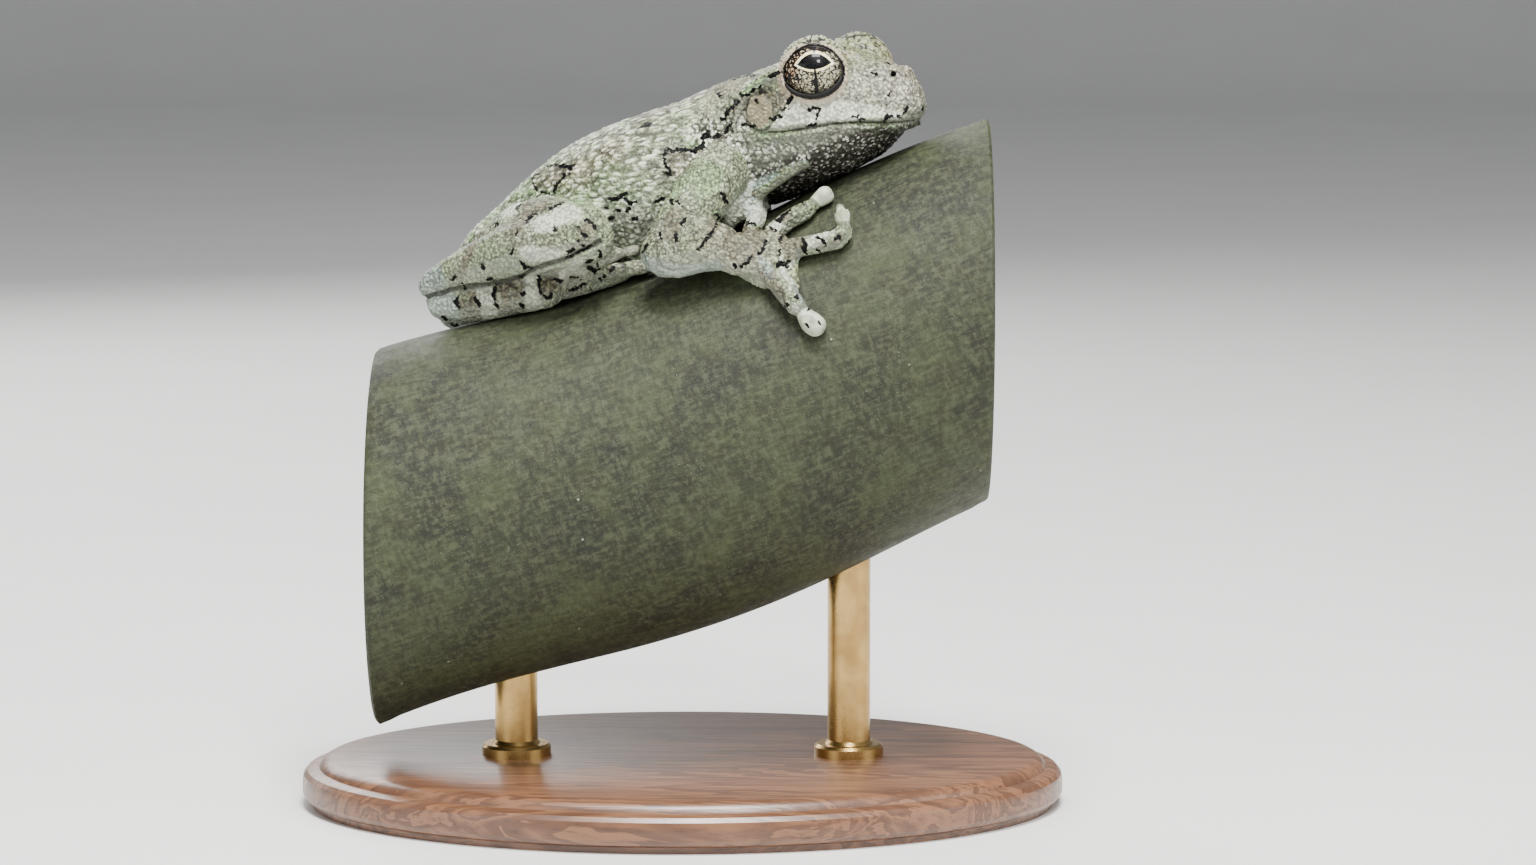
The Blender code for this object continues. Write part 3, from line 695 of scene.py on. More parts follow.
# The dark strokes, each a row of (across, down, half width).
inkMarks = {
    "trunk": [
        [(711, 386, 0.8), (719, 383, 1.2), (727, 381, 2.5), (734, 380, 1.6)],
        [(693, 403, 1.9), (694, 404, 1.6)],
        [(604, 441, 0.7), (610, 440, 1.2), (616, 437, 1.0)],
        [(676, 455, 2.2), (680, 450, 2.8), (683, 453, 1.4)],
        [(668, 468, 2.0), (674, 464, 2.4), (676, 461, 1.6)],
        [(676, 466, 1.4), (666, 471, 1.0), (655, 469, 1.7), (647, 468, 1.9), (640, 470, 1.0),
         (632, 470, 1.5), (629, 475, 1.7), (630, 483, 1.0), (632, 488, 1.5), (637, 494, 1.2)],
        [(631, 495, 1.4), (637, 498, 2.3)],
        [(647, 506, 1.8), (654, 504, 1.3)],
        [(636, 520, 1.0), (641, 519, 1.3)],
        [(612, 532, 0.5), (622, 530, 0.8), (628, 527, 1.8)],
        [(566, 527, 1.5), (574, 527, 2.2), (579, 523, 1.8), (584, 521, 1.0)],
        [(584, 528, 1.7), (589, 533, 1.6), (596, 530, 0.7)],
        [(585, 541, 1.4), (589, 538, 0.9)],
        [(562, 549, 1.7), (568, 551, 1.2)],
        [(593, 551, 1.3), (596, 551, 1.2)],
        [(559, 539, 0.9), (561, 539, 0.9)],
        [(573, 541, 0.8), (576, 541, 0.8)],
        [(490, 488, 0.5), (500, 487, 0.7), (511, 488, 1.2), (518, 490, 2.7), (524, 487, 1.2)],
        [(510, 498, 0.9), (516, 497, 1.1)],
        [(499, 518, 1.5), (501, 512, 0.9), (508, 503, 0.6), (513, 499, 0.6)],
        [(478, 516, 1.3), (476, 510, 0.7), (472, 503, 0.9), (478, 497, 0.5)],
        [(488, 481, 0.9), (491, 479, 1.0)],
        [(484, 519, 0.7), (492, 521, 1.0)],
        [(549, 560, 1.2), (553, 568, 1.9), (558, 573, 1.0)],
        [(728, 519, 2.2), (732, 521, 3.1), (735, 522, 2.2)],
    ],
    "head": [
        [(756, 382, 1.5), (761, 379, 2.1), (767, 378, 1.2)],
        [(743, 396, 1.6), (746, 393, 1.2)],
        [(733, 401, 1.1), (737, 398, 1.5), (742, 397, 1.1)],
        [(721, 403, 1.5), (727, 405, 1.7), (732, 403, 1.1)],
        [(717, 411, 1.8), (713, 415, 2.1), (710, 420, 1.6)],
        [(708, 420, 2.0), (705, 425, 2.6), (703, 429, 1.3)],
        [(699, 433, 1.5), (703, 431, 1.2)],
        [(702, 447, 1.4), (705, 441, 1.4), (709, 439, 0.9)],
        [(690, 455, 2.0), (694, 451, 1.6)],
        [(776, 413, 1.6), (779, 409, 1.8), (781, 405, 0.9)],
        [(722, 438, 1.5), (728, 440, 1.0), (735, 441, 1.4)],
        [(756, 431, 1.1), (760, 434, 0.8), (764, 428, 0.9), (767, 430, 1.0)],
        [(770, 421, 1.3), (775, 419, 1.0)],
        [(739, 409, 0.7), (740, 413, 0.9)],
        [(801, 440, 1.5), (803, 440, 1.5)],
        [(808, 440, 0.9), (809, 438, 0.8)],
        [(862, 433, 1.5), (867, 433, 1.6)],
        [(853, 429, 0.8), (859, 430, 1.1)],
        [(891, 434, 1.1), (894, 430, 1.7), (898, 429, 0.9)],
        [(902, 431, 0.6), (908, 429, 1.7)],
        [(914, 425, 1.3), (918, 420, 1.2)],
        [(930, 435, 1.3), (934, 431, 1.0), (936, 425, 1.2), (937, 419, 0.8)],
        [(802, 421, 0.8), (808, 420, 1.4), (814, 421, 1.0)],
        [(811, 426, 0.8), (810, 432, 0.8)],
        [(891, 357, 1.6), (893, 362, 1.9), (896, 366, 0.8)],
        [(897, 379, 0.7), (902, 379, 1.2)],
        [(842, 346, 1.0), (845, 350, 0.8)],
        [(858, 343, 0.7), (862, 346, 1.1)],
        [(875, 377, 0.6), (881, 379, 0.9)],
        [(896, 404, 0.9), (898, 400, 0.7)],
    ],
    "arm": [
        [(641, 528, 0.9), (646, 531, 1.0), (651, 536, 0.9)],
        [(636, 529, 0.7), (641, 534, 0.6)],
        [(692, 545, 1.4), (694, 549, 1.6), (692, 556, 0.9), (687, 563, 1.1), (681, 572, 1.3),
         (676, 580, 0.9), (671, 588, 1.8)],
        [(724, 556, 1.2), (731, 555, 1.3), (737, 556, 1.8)],
        [(624, 566, 0.7), (625, 573, 1.3)],
        [(608, 582, 1.4), (606, 588, 1.0), (600, 592, 0.7)],
        [(651, 557, 1.4), (655, 552, 1.0)],
        [(743, 591, 1.9), (748, 586, 1.5), (750, 576, 0.6)],
        [(721, 608, 1.0), (728, 602, 1.3), (732, 597, 1.2)],
        [(643, 568, 0.6), (644, 577, 0.9)],
        [(697, 520, 1.0), (703, 530, 1.8), (704, 533, 1.0)],
        [(713, 604, 1.0), (715, 608, 0.7)],
    ],
    "hand": [
        [(761, 551, 1.2), (766, 553, 1.8), (771, 546, 2.2), (778, 541, 1.0)],
        [(785, 531, 1.2), (791, 530, 2.0), (795, 533, 0.9)],
        [(794, 575, 0.8), (796, 580, 1.9), (795, 588, 2.1), (798, 594, 1.0)],
        [(766, 593, 1.1), (768, 585, 0.8), (767, 577, 1.5), (770, 569, 0.7)],
        [(764, 606, 2.0), (771, 603, 2.4), (777, 609, 1.6), (778, 601, 0.8)],
        [(782, 644, 1.0), (787, 643, 1.3)],
        [(777, 650, 1.5), (775, 655, 1.3)],
        [(800, 659, 1.0), (803, 657, 1.3)],
        [(799, 676, 0.6), (801, 680, 0.5)],
        [(813, 673, 0.4), (816, 677, 0.4)],
        [(811, 572, 0.8), (818, 576, 1.4), (822, 581, 1.0)],
        [(833, 575, 1.2), (837, 573, 1.6)],
        [(812, 588, 1.2), (818, 591, 1.0)],
        [(738, 523, 1.0), (740, 526, 0.9)],
        [(755, 561, 0.6), (762, 565, 0.8)],
    ],
    "thigh": [
        [(460, 602, 1.0), (463, 607, 1.6), (465, 612, 0.8)],
        [(467, 608, 0.9), (472, 610, 1.3)],
        [(458, 622, 1.3), (463, 618, 0.9)],
        [(377, 623, 1.1), (380, 620, 1.3)],
        [(420, 622, 1.1), (424, 622, 1.2)],
        [(413, 606, 0.8), (415, 609, 0.8)],
        [(535, 553, 0.9), (538, 551, 0.8), (542, 556, 1.2)],
        [(544, 557, 1.3), (548, 562, 1.0)],
        [(527, 561, 1.3), (531, 563, 0.9)],
        [(531, 568, 1.0), (535, 571, 1.4)],
        [(527, 577, 0.8), (529, 580, 0.8)],
        [(515, 590, 0.9), (519, 588, 1.8), (523, 586, 1.1)],
        [(532, 580, 0.8), (534, 583, 0.8)],
        [(455, 539, 1.1), (459, 532, 0.8), (464, 528, 0.5)],
        [(436, 541, 0.7), (438, 537, 1.2), (445, 531, 0.8), (455, 526, 0.6)],
        [(466, 555, 1.1), (470, 549, 1.2), (477, 544, 0.8)],
        [(492, 541, 0.5), (500, 535, 0.6), (510, 531, 0.6)],
        [(452, 570, 0.8), (454, 565, 0.6)],
        [(499, 560, 0.5), (501, 566, 0.7)],
        [(429, 559, 0.9), (432, 556, 0.6)],
        [(449, 594, 0.6), (450, 588, 0.9)],
        [(389, 628, 0.5), (392, 633, 0.9)],
        [(476, 523, 0.8), (482, 523, 1.2)],
        [(432, 538, 0.9), (436, 535, 0.6)],
    ],
    "foot": [
        [(487, 643, 1.4), (491, 645, 2.2), (497, 642, 1.9)],
        [(461, 641, 1.3), (464, 640, 2.0)],
        [(458, 651, 1.0), (462, 655, 1.5)],
        [(383, 642, 0.6), (382, 650, 1.0), (386, 658, 0.7)],
        [(403, 639, 0.5), (406, 648, 1.2), (411, 655, 0.8)],
        [(429, 629, 0.6), (427, 639, 1.3), (428, 649, 0.6), (431, 655, 1.2)],
        [(536, 604, 1.5), (541, 601, 1.8)],
        [(540, 608, 0.8), (546, 613, 1.6), (552, 610, 1.0), (550, 603, 0.6)],
        [(519, 620, 0.5), (527, 621, 0.8), (534, 627, 1.1), (526, 633, 1.4), (517, 635, 1.1)],
        [(553, 589, 0.8), (554, 597, 1.2)],
        [(499, 622, 0.9), (506, 624, 1.5)],
        [(480, 619, 0.7), (481, 631, 1.0), (483, 640, 0.7)],
        [(565, 612, 1.5), (570, 608, 0.9)],
        [(553, 622, 1.4), (560, 619, 0.8)],
        [(540, 632, 1.0), (544, 636, 1.2)],
        [(365, 667, 1.3), (370, 670, 1.8)],
        [(341, 645, 0.8), (345, 648, 0.9)],
        [(512, 598, 0.5), (520, 595, 0.7), (530, 589, 0.7), (543, 583, 0.9)],
    ],
}

# The patches are outlines.
brownPatches = {
    "trunk": [
        [(472, 503), (480, 492), (490, 488), (512, 488), (521, 492), (514, 499), (505, 505), (500, 516),
         (485, 513), (477, 517)],
        [(630, 472), (650, 470), (676, 468), (690, 455), (700, 446), (711, 441), (706, 460), (692, 478),
         (681, 490), (670, 499), (648, 507), (636, 499), (631, 485)],
        [(590, 445), (610, 436), (628, 427), (648, 419), (661, 410), (690, 398), (712, 387), (712, 380),
         (690, 385), (650, 405), (600, 425), (585, 440)],
    ],
    "head": [
        [(756, 382), (769, 377), (776, 395), (783, 409), (773, 423), (757, 436), (742, 441), (727, 439),
         (722, 430), (712, 436), (706, 440), (706, 428), (713, 416), (724, 405), (738, 400), (748, 390)],
    ],
    "arm": [
        [(632, 541), (641, 537), (652, 538), (658, 545), (655, 556), (648, 560), (645, 575), (637, 580),
         (628, 571), (630, 553)],
        forearmPatch,
        [(686, 545), (700, 548), (697, 562), (685, 574), (676, 582), (680, 565)],
    ],
    "hand": [
        forearmPatch,
        [(769, 566), (785, 562), (797, 574), (798, 592), (786, 600), (771, 593), (766, 579)],
        [(746, 618), (757, 611), (768, 629), (777, 644), (773, 653), (761, 648), (748, 633)],
        [(761, 541), (775, 537), (781, 544), (771, 557), (761, 553)],
        [(784, 526), (795, 528), (794, 537), (784, 535)],
        [(810, 572), (822, 577), (820, 592), (808, 589)],
        [(829, 570), (842, 567), (841, 580), (828, 585)],
    ],
    "thigh": [
        [(463, 530), (480, 526), (500, 527), (513, 529), (505, 534), (494, 540), (480, 543), (470, 551),
         (461, 560), (455, 572), (450, 590), (445, 575), (448, 556), (455, 543)],
        [(528, 556), (540, 552), (550, 560), (552, 572), (540, 584), (528, 590), (516, 588), (524, 574)],
        [(402, 556), (412, 548), (414, 565), (404, 590), (396, 612), (388, 632), (380, 634), (384, 612),
         (394, 584)],
        [(360, 610), (366, 606), (362, 625), (358, 638), (352, 636)],
    ],
    "foot": [
        [(383, 636), (403, 635), (407, 648), (412, 664), (416, 682), (398, 682), (388, 664), (384, 652)],
        [(429, 628), (445, 623), (461, 619), (463, 632), (461, 645), (464, 659), (468, 682), (440, 682),
         (431, 656), (427, 642)],
        [(483, 618), (496, 611), (504, 616), (502, 628), (497, 641), (487, 645), (482, 632)],
        [(510, 630), (524, 616), (540, 606), (554, 603), (556, 612), (544, 626), (530, 637), (514, 641)],
        [(560, 604), (568, 592), (578, 592), (584, 606), (574, 617), (562, 618)],
    ],
}
palePatches = {
    "head": [
        [(780, 404), (800, 410), (823, 408), (816, 416), (801, 420), (801, 433), (790, 440), (766, 447),
         (748, 445), (757, 437), (768, 428), (776, 415)],
        [(900, 436), (912, 432), (928, 433), (924, 439), (905, 440)],
        [(775, 427), (790, 411), (830, 409), (870, 416), (912, 424), (934, 428), (931, 436), (870, 433),
         (820, 436), (780, 443)],
    ],
    "thigh": [
        [(436, 541), (448, 531), (463, 526), (457, 538), (451, 549), (436, 551)],
        [(455, 584), (470, 583), (500, 587), (514, 590), (505, 598), (480, 602), (462, 600)],
        [(472, 556), (481, 546), (492, 543), (503, 537), (519, 533), (533, 542), (530, 552), (510, 556),
         (495, 566), (476, 568)],
    ],
    "foot": [
        [(405, 633), (428, 629), (426, 640), (430, 656), (436, 680), (418, 680), (411, 660), (407, 645)],
        [(462, 620), (478, 614), (480, 628), (483, 643), (488, 668), (470, 674), (465, 655), (463, 640)],
        [(350, 632), (366, 640), (381, 638), (382, 652), (387, 668), (372, 672), (352, 660), (342, 648)],
        [(526, 616), (532, 610), (538, 614), (534, 620), (527, 620)],
        [(566, 602), (573, 599), (576, 606), (569, 608)],
        [(504, 612), (520, 602), (536, 594), (534, 604), (516, 614), (508, 624)],
    ],
    "arm": [
        [(618, 598), (632, 604), (648, 606), (664, 604), (682, 600), (672, 614), (650, 621), (630, 615)],
        [(700, 545), (712, 530), (730, 520), (745, 512), (752, 520), (740, 530), (730, 545), (720, 556),
         (704, 552)],
    ],
    "hand": [
        [(704, 545), (722, 525), (745, 512), (800, 484), (802, 500), (775, 535), (762, 552), (778, 560),
         (768, 566), (740, 557), (718, 557)],
        [(779, 648), (790, 653), (800, 664), (794, 674), (783, 664)],
        [(800, 572), (815, 566), (830, 562), (835, 566), (824, 575), (804, 588), (798, 582)],
        [(768, 596), (784, 604), (786, 625), (778, 636), (772, 622), (764, 612)],
    ],
    "trunk": [
        [(735, 520), (758, 505), (785, 492), (800, 482), (806, 488), (790, 502), (765, 516), (745, 524)],
    ],
}
# Patches of cool bluish grey on the elbow's underside, the heel, the hand and the chest.
coolPatches = {
    "arm": [
        [(602, 592), (622, 600), (650, 605), (688, 600), (704, 606), (682, 624), (640, 630), (606, 620)],
        chestPatch,
    ],
    "trunk": [chestPatch],
    "foot": [[(330, 600), (350, 604), (368, 630), (382, 640), (386, 672), (360, 676), (334, 650)]],
    "thigh": [[(330, 600), (344, 590), (362, 606), (372, 630), (350, 640), (334, 640)]],
    "hand": [
        [(776, 606), (792, 596), (802, 610), (794, 636), (812, 664), (800, 660), (786, 640)],
        [(744, 594), (760, 606), (756, 622), (744, 610)],
    ],
}
# Folds of the skin: (across, down) along each, its depth and half width in mm; a negative depth is a ridge.
folds = {
    "trunk": [
        ([(747, 399), (738, 408), (728, 418), (718, 431), (709, 446), (699, 459), (690, 472), (682, 484),
          (671, 497), (656, 508), (641, 519), (626, 529)], 0.16, 0.16),
        ([(712, 440), (717, 450), (724, 455), (730, 463), (734, 472), (738, 479)], 0.10, 0.11),
        ([(706, 462), (711, 470), (717, 478), (724, 482)], 0.08, 0.10),
        ([(698, 480), (704, 488), (712, 497), (718, 508), (727, 517), (734, 520)], 0.14, 0.14),
        ([(683, 494), (691, 491), (698, 493)], 0.08, 0.10),
        ([(728, 524), (742, 515), (758, 505), (776, 495), (796, 484)], -0.42, 0.42),
        ([(738, 530), (756, 519), (776, 507), (800, 494)], 0.22, 0.22),
        ([(626, 529), (615, 540), (606, 552), (603, 566)], 0.12, 0.14),
        ([(753, 405), (744, 413), (735, 424), (726, 435), (718, 449), (708, 463), (699, 476), (690, 488),
          (677, 500)], -0.13, 0.22),
        (rumpFold, 0.14, 0.15),
    ],
    "arm": [
        ([(619, 590), (620, 598), (626, 607), (636, 612), (643, 613)], 0.16, 0.13),
        ([(628, 584), (632, 594), (640, 602), (652, 606), (662, 606)], 0.12, 0.12),
        ([(706, 541), (711, 533), (718, 526), (727, 519)], 0.10, 0.11),
        ([(716, 546), (724, 534), (742, 518), (758, 507), (776, 496), (796, 485)], -0.42, 0.42),
        ([(618, 598), (625, 606), (636, 611)], 0.12, 0.12),
        ([(652, 612), (660, 604), (672, 601)], 0.10, 0.12),
        ([(674, 600), (686, 592), (700, 581), (712, 569), (722, 559)], 0.12, 0.12),
        ([(622, 578), (620, 590), (618, 600), (622, 606)], 0.12, 0.12),
        ([(642, 580), (648, 592), (660, 600), (676, 603)], 0.10, 0.12),
        ([(690, 497), (687, 515), (682, 535), (680, 548)], 0.05, 0.10),
        ([(602, 577), (606, 565), (613, 554), (622, 546), (633, 540), (652, 537)], 0.10, 0.13),
        ([(736, 548), (744, 556), (752, 568), (752, 582)], 0.07, 0.12),
    ],
    "thigh": [
        (shankFold, 0.34, 0.19),
        (rumpFold, 0.10, 0.14),
        ([(457, 571), (460, 560), (468, 552), (476, 545), (484, 542), (492, 541)], 0.07, 0.12),
        ([(492, 541), (500, 535), (510, 531), (521, 530)], 0.05, 0.11),
        ([(554, 578), (545, 583), (530, 591), (512, 598), (490, 602)], 0.10, 0.12),
        ([(494, 541), (499, 548), (501, 556), (501, 563)], 0.05, 0.10),
    ],
    "foot": [
        (shankFold, 0.34, 0.19),
        ([(362, 645), (368, 653), (378, 661), (392, 665)], 0.06, 0.10),
        ([(383, 645), (388, 655), (398, 663), (412, 667)], 0.05, 0.09),
        ([(404, 646), (412, 655), (424, 662), (438, 664)], 0.05, 0.09),
    ],
    "hand": [
        ([(744, 600), (752, 612), (757, 626), (757, 638)], 0.05, 0.09),
    ],
}
throatOutline = [(792, 482), (806, 470), (824, 463), (838, 451), (860, 444), (885, 442), (915, 441),
                 (945, 437), (940, 470), (880, 500), (820, 530), (700, 560), (740, 520), (775, 500)]

skinRelief = {
    "granule": (0.37, 0.068),      # size and height in mm
    "streak": (0.43, 0.115),
    "cobble": (0.56, 0.140),
    "lidKnobs": (0.60, 0.16),
    "lip": 0.10,
    "mouth": (0.11, 0.20),         # half width and depth
    "nostril": (0.24, 0.50),       # radius and depth
    "nostrilRim": 0.09,
    "ear": ((-0.36, 7.4, 1.69), (1.02, 1.30)),      # middle in the head's frame, half length and half height
    "earRelief": (0.13, 0.12, 0.06),                # rim up, ring around it down, disc down
    "padGroove": 0.06,
    "padEdge": 1.35,               # of the pad's radius
    "footPads": 0.3,               # the pads of the feet stand out less
}
mouthLine = (
    (-0.4, 0.3, 1.56, 3.68, 5.58, 7.45, 9.4, 10.5, 11.3, 12.0),
    (0.05, 0.0, -0.02, 0.15, 0.38, 0.33, 0.14, 0.0, 0.02, 0.02),
)
nostrilPlace = (901.5, 379.0)      # in the side view
regionNodes = {
    "trunk": ["torso", "head", "lower_jaw"],
    "head": ["head", "lower_jaw", "torso"],
    "arm": ["upper_arm", "forearm", "hand"],
    "hand": ["hand", "forearm"],
    "thigh": ["thigh", "shank"],
    "foot": ["foot", "shank"],
}
# The toe pads: along the limb, around it and over it in mm, and the pad's radius.
padPlaces = [(7.0, 0.5, 0.75, 1.0), (12.5, 5.9, 0.7, 1.05), (13.5, 10.3, 1.5, 0.85),
             (8.2, 17.4, 0.75, 1.1), (-8.4, 0.4, 0.75, 0.7), (-6.2, 1.0, 0.75, 0.75),
             (-3.6, 5.1, 3.2, 0.7), (-0.8, 4.3, 0.75, 0.9), (-3.6, 2.5, 0.75, 0.85)]


mirrorForm = {
    "lean": 12.4,                  # degrees that the body's middle leans on the limb at the rear
    "leanLess": 4.4,               # and how much less at the front
    "leanAlong": (-5.0, 5.0),      # mm along the limb between rear and front
    "neckAlong": (-6.0, -3.0),     # mm in the head's frame, where the body's mirror gives way to the head's
    "neckAbove": (-5.5, -4.0),
}
# How far a mark reaches beyond its own corners, in side view units.
markReach = {"patch": 24.0, "stroke": 12.0, "split": 6.0, "fold": 9.0}
unmarked = 99.0
# The marks' edges wander by noise of that size in mm, that far in side view units.
wanderForm = {"everywhere": (0.9, 0.9), "left": (2.5, 5.0)}


def rightSide(points):  # every point, or its mirror image where it lies on the frog's left
    local = inLimbFrame(points)
    toFront = smoothStep(*mirrorForm["leanAlong"], local[:, 0])
    lean = np.radians(mirrorForm["lean"] - mirrorForm["leanLess"] * toFront)
    high = local[:, 2] - limbAxis(local[:, 0])
    across = np.maximum(local[:, 1] * np.cos(lean) - high * np.sin(lean), 0.0)
    body = local.copy()
    body[:, 1] -= 2.0 * across * np.cos(lean)
    body[:, 2] += 2.0 * across * np.sin(lean)
    body = moved(body, limbToWorld)
    head = inHeadFrame(points)
    share = smoothStep(*mirrorForm["neckAlong"], head[:, 0])
    share = (share * smoothStep(*mirrorForm["neckAbove"], head[:, 2]))[:, None]
    head[:, 1] = -np.abs(head[:, 1])
    return body * (1.0 - share) + moved(head, headToWorld) * share, across > 0.0


def nostrilDistance(right):
    reach = np.linalg.norm(inSideView(right) - nostrilPlace, axis=1) * sideView["unit"]
    return np.where(inHeadFrame(right)[:, 1] < -0.4, reach, nowhere)


def earReach(inHead):  # 1 on the ear disc's edge, more outside
    place, half = skinRelief["ear"]
    return np.hypot((inHead[:, 0] - place[0]) / half[0], (inHead[:, 2] - place[2]) / half[1])


def strokeDistance(place, rows, ownWidth=True):  # in side view units, less the stroke's half width
    best = np.full(len(place), unmarked)
    for start, end in zip(rows, rows[1:]):
        first = np.array(start[:2], float)
        step = np.array(end[:2], float) - first
        part = np.clip(((place - first) @ step) / max(step @ step, 1e-6), 0.0, 1.0)
        reach = np.linalg.norm(place - first - part[:, None] * step, axis=1)
        if ownWidth:
            reach -= start[2] + part * (end[2] - start[2])
        best = np.minimum(best, reach)
    return best


def outlineDistance(place, corners):  # negative inside
    loop = list(corners) + [corners[0]]
    best = strokeDistance(place, loop, ownWidth=False)
    inside = np.zeros(len(place), bool)
    for (x0, y0), (x1, y1) in zip(loop, loop[1:]):
        crossing = (y0 > place[:, 1]) != (y1 > place[:, 1])
        where = x0 + (place[:, 1] - y0) * (x1 - x0) / ((y1 - y0) or 1e-6)
        inside ^= crossing & (place[:, 0] < where)
    return np.where(inside, -best, best)


def regionShare(distances, region):  # 1 on the region's nodes, 0 away from them
    nearest = np.full(len(distances["head"]), nowhere)
    for node, values in distances.items():
        if node.replace("_right", "").replace("_left", "") in regionNodes[region]:
            nearest = np.minimum(nearest, values)
    return 1.0 - smoothStep(0.35, 0.7, nearest)


def nearestMark(place, marks, shares, measure, margin):
    best = np.full(len(place), unmarked)
    for region, rows in marks.items():
        for row in rows:
            corners = np.array([mark[:2] for mark in row], float)
            close = np.all((place > corners.min(0) - margin) & (place < corners.max(0) + margin), axis=1)
            close &= shares[region] > 0.01
            best[close] = np.minimum(
                best[close], measure(place[close], row) + (1.0 - shares[region][close]) * margin
            )
    return best * sideView["unit"]


def foldDepth(place, shares):
    total = np.zeros(len(place))
    for region, rows in folds.items():
        for row, depth, width in rows:
            corners = np.array(row, float)
            margin = markReach["fold"]
            close = np.all((place > corners.min(0) - margin) & (place < corners.max(0) + margin), axis=1)
            reach = strokeDistance(place[close], row, ownWidth=False) * sideView["unit"]
            value = depth * shares[region][close] * ridge(reach, 0.0, width)
            known = total[close]
            total[close] = np.where(np.abs(value) > np.abs(known), value, known)
    return total


def surfaceValues(thing):  # where each point lies on the frog, in the terms that the marks and the relief use
    points = places(thing)
    normals = facing(thing)
    distances = nodeDistances(points)
    right, onLeft = rightSide(points)
    v = {"points": points, "normals": normals}
    v["inHead"] = inHeadFrame(right)
    v["inLimb"] = inLimbFrame(right)
    v["shares"] = {region: regionShare(distances, region) for region in regionNodes}
    size, amount = wanderForm["everywhere"]
    wander = np.stack((swell(points / size, 21), swell(points / size, 22)), 1) * amount
    size, amount = wanderForm["left"]
    wanderLeft = np.stack((swell(points / size, 23), swell(points / size, 24)), 1) * amount
    v["flat"] = inSideView(right) + wander + onLeft[:, None] * wanderLeft
    v["head"] = 1.0 - smoothStep(0.3, 0.8, np.minimum(distances["head"], distances["lower_jaw"]))
    v["trunk"] = 1.0 - smoothStep(0.3, 0.8, distances["torso"])
    v["mouthHeight"] = v["inHead"][:, 2] - np.interp(v["inHead"][:, 0], *mouthLine)
    v["atMouth"] = v["head"] * smoothStep(-0.3, 0.5, v["inHead"][:, 0])
    v["nostril"] = nostrilDistance(right)
    fromEar = np.abs(np.abs(v["inHead"][:, 1]) - skinRelief["ear"][0][1])
    v["ear"] = np.where(fromEar < 1.6, earReach(v["inHead"]), nowhere)
    inEye = inEyeFrame(right, -1.0)
    eyeReach = np.linalg.norm(inEye, axis=1)
    opening = lidReach(inEye)
    v["lidEdge"] = np.where((eyeReach < 3.9) & (inEye[:, 1] > 0.0), opening, nowhere)
    v["socket"] = ((eyeReach < 2.93) & (inEye[:, 1] > -2.9) & (v["head"] > 0.5)).astype(float)
    lidTop = smoothStep(0.4, 1.6, inEye[:, 2]) * smoothStep(1.10, 1.30, opening)
    v["lidTop"] = np.where(eyeReach < 4.4, lidTop, 0.0) * v["head"]
    v["pads"] = np.zeros(len(points))
    v["padGroove"] = np.zeros(len(points))
    for along, around, above, radius in padPlaces:
        reach = limbPlace["radius"] + above
        angle = around / limbPlace["radius"]
        tip = (along, -reach * math.sin(angle), float(limbAxis(along)) + reach * math.cos(angle))
        fromTip = np.linalg.norm(v["inLimb"] - tip, axis=1)
        edge = radius * skinRelief["padEdge"]
        ownShare = 1.0 if along > 0.0 else skinRelief["footPads"]
        v["pads"] = np.maximum(v["pads"], ownShare * (1.0 - smoothStep(radius, edge, fromTip)))
        v["padGroove"] = np.maximum(v["padGroove"], ridge(fromTip, edge, 0.22))
    v["pads"] = np.maximum(v["pads"], 1.0 - smoothStep(0.15, 0.45, softReach(points, ("padTips",))))
    v["digits"] = np.maximum(v["shares"]["hand"], v["shares"]["foot"])
    v["chest"] = 1.0 - smoothStep(0.15, 0.45, softReach(points, ("chestFold",)))
    v["under"] = smoothStep(0.2, -0.5, normals[:, 2])
    behindHead = smoothStep(-0.5, -2.5, v["inHead"][:, 0]) * smoothStep(-7.5, -5.5, v["inHead"][:, 0])
    cobble = v["head"] * smoothStep(-0.6, -1.6, v["mouthHeight"])
    lowNeck = behindHead * smoothStep(2.4, 0.4, v["inHead"][:, 2])
    cobble = np.maximum(cobble, np.maximum(v["head"], v["trunk"]) * lowNeck)
    v["cobble"] = np.clip(np.maximum(cobble, v["trunk"] * v["under"]), 0.0, 1.0)
    v["flank"] = v["trunk"] * smoothStep(-5.0, -6.5, v["inHead"][:, 0]) * (1.0 - v["cobble"])
    return v


def grains(place, size, seed):
    first, second = pebbles(place / size, seed)
    return smoothStep(0.03, 0.50, second - first) * (1.0 - 0.35 * first)


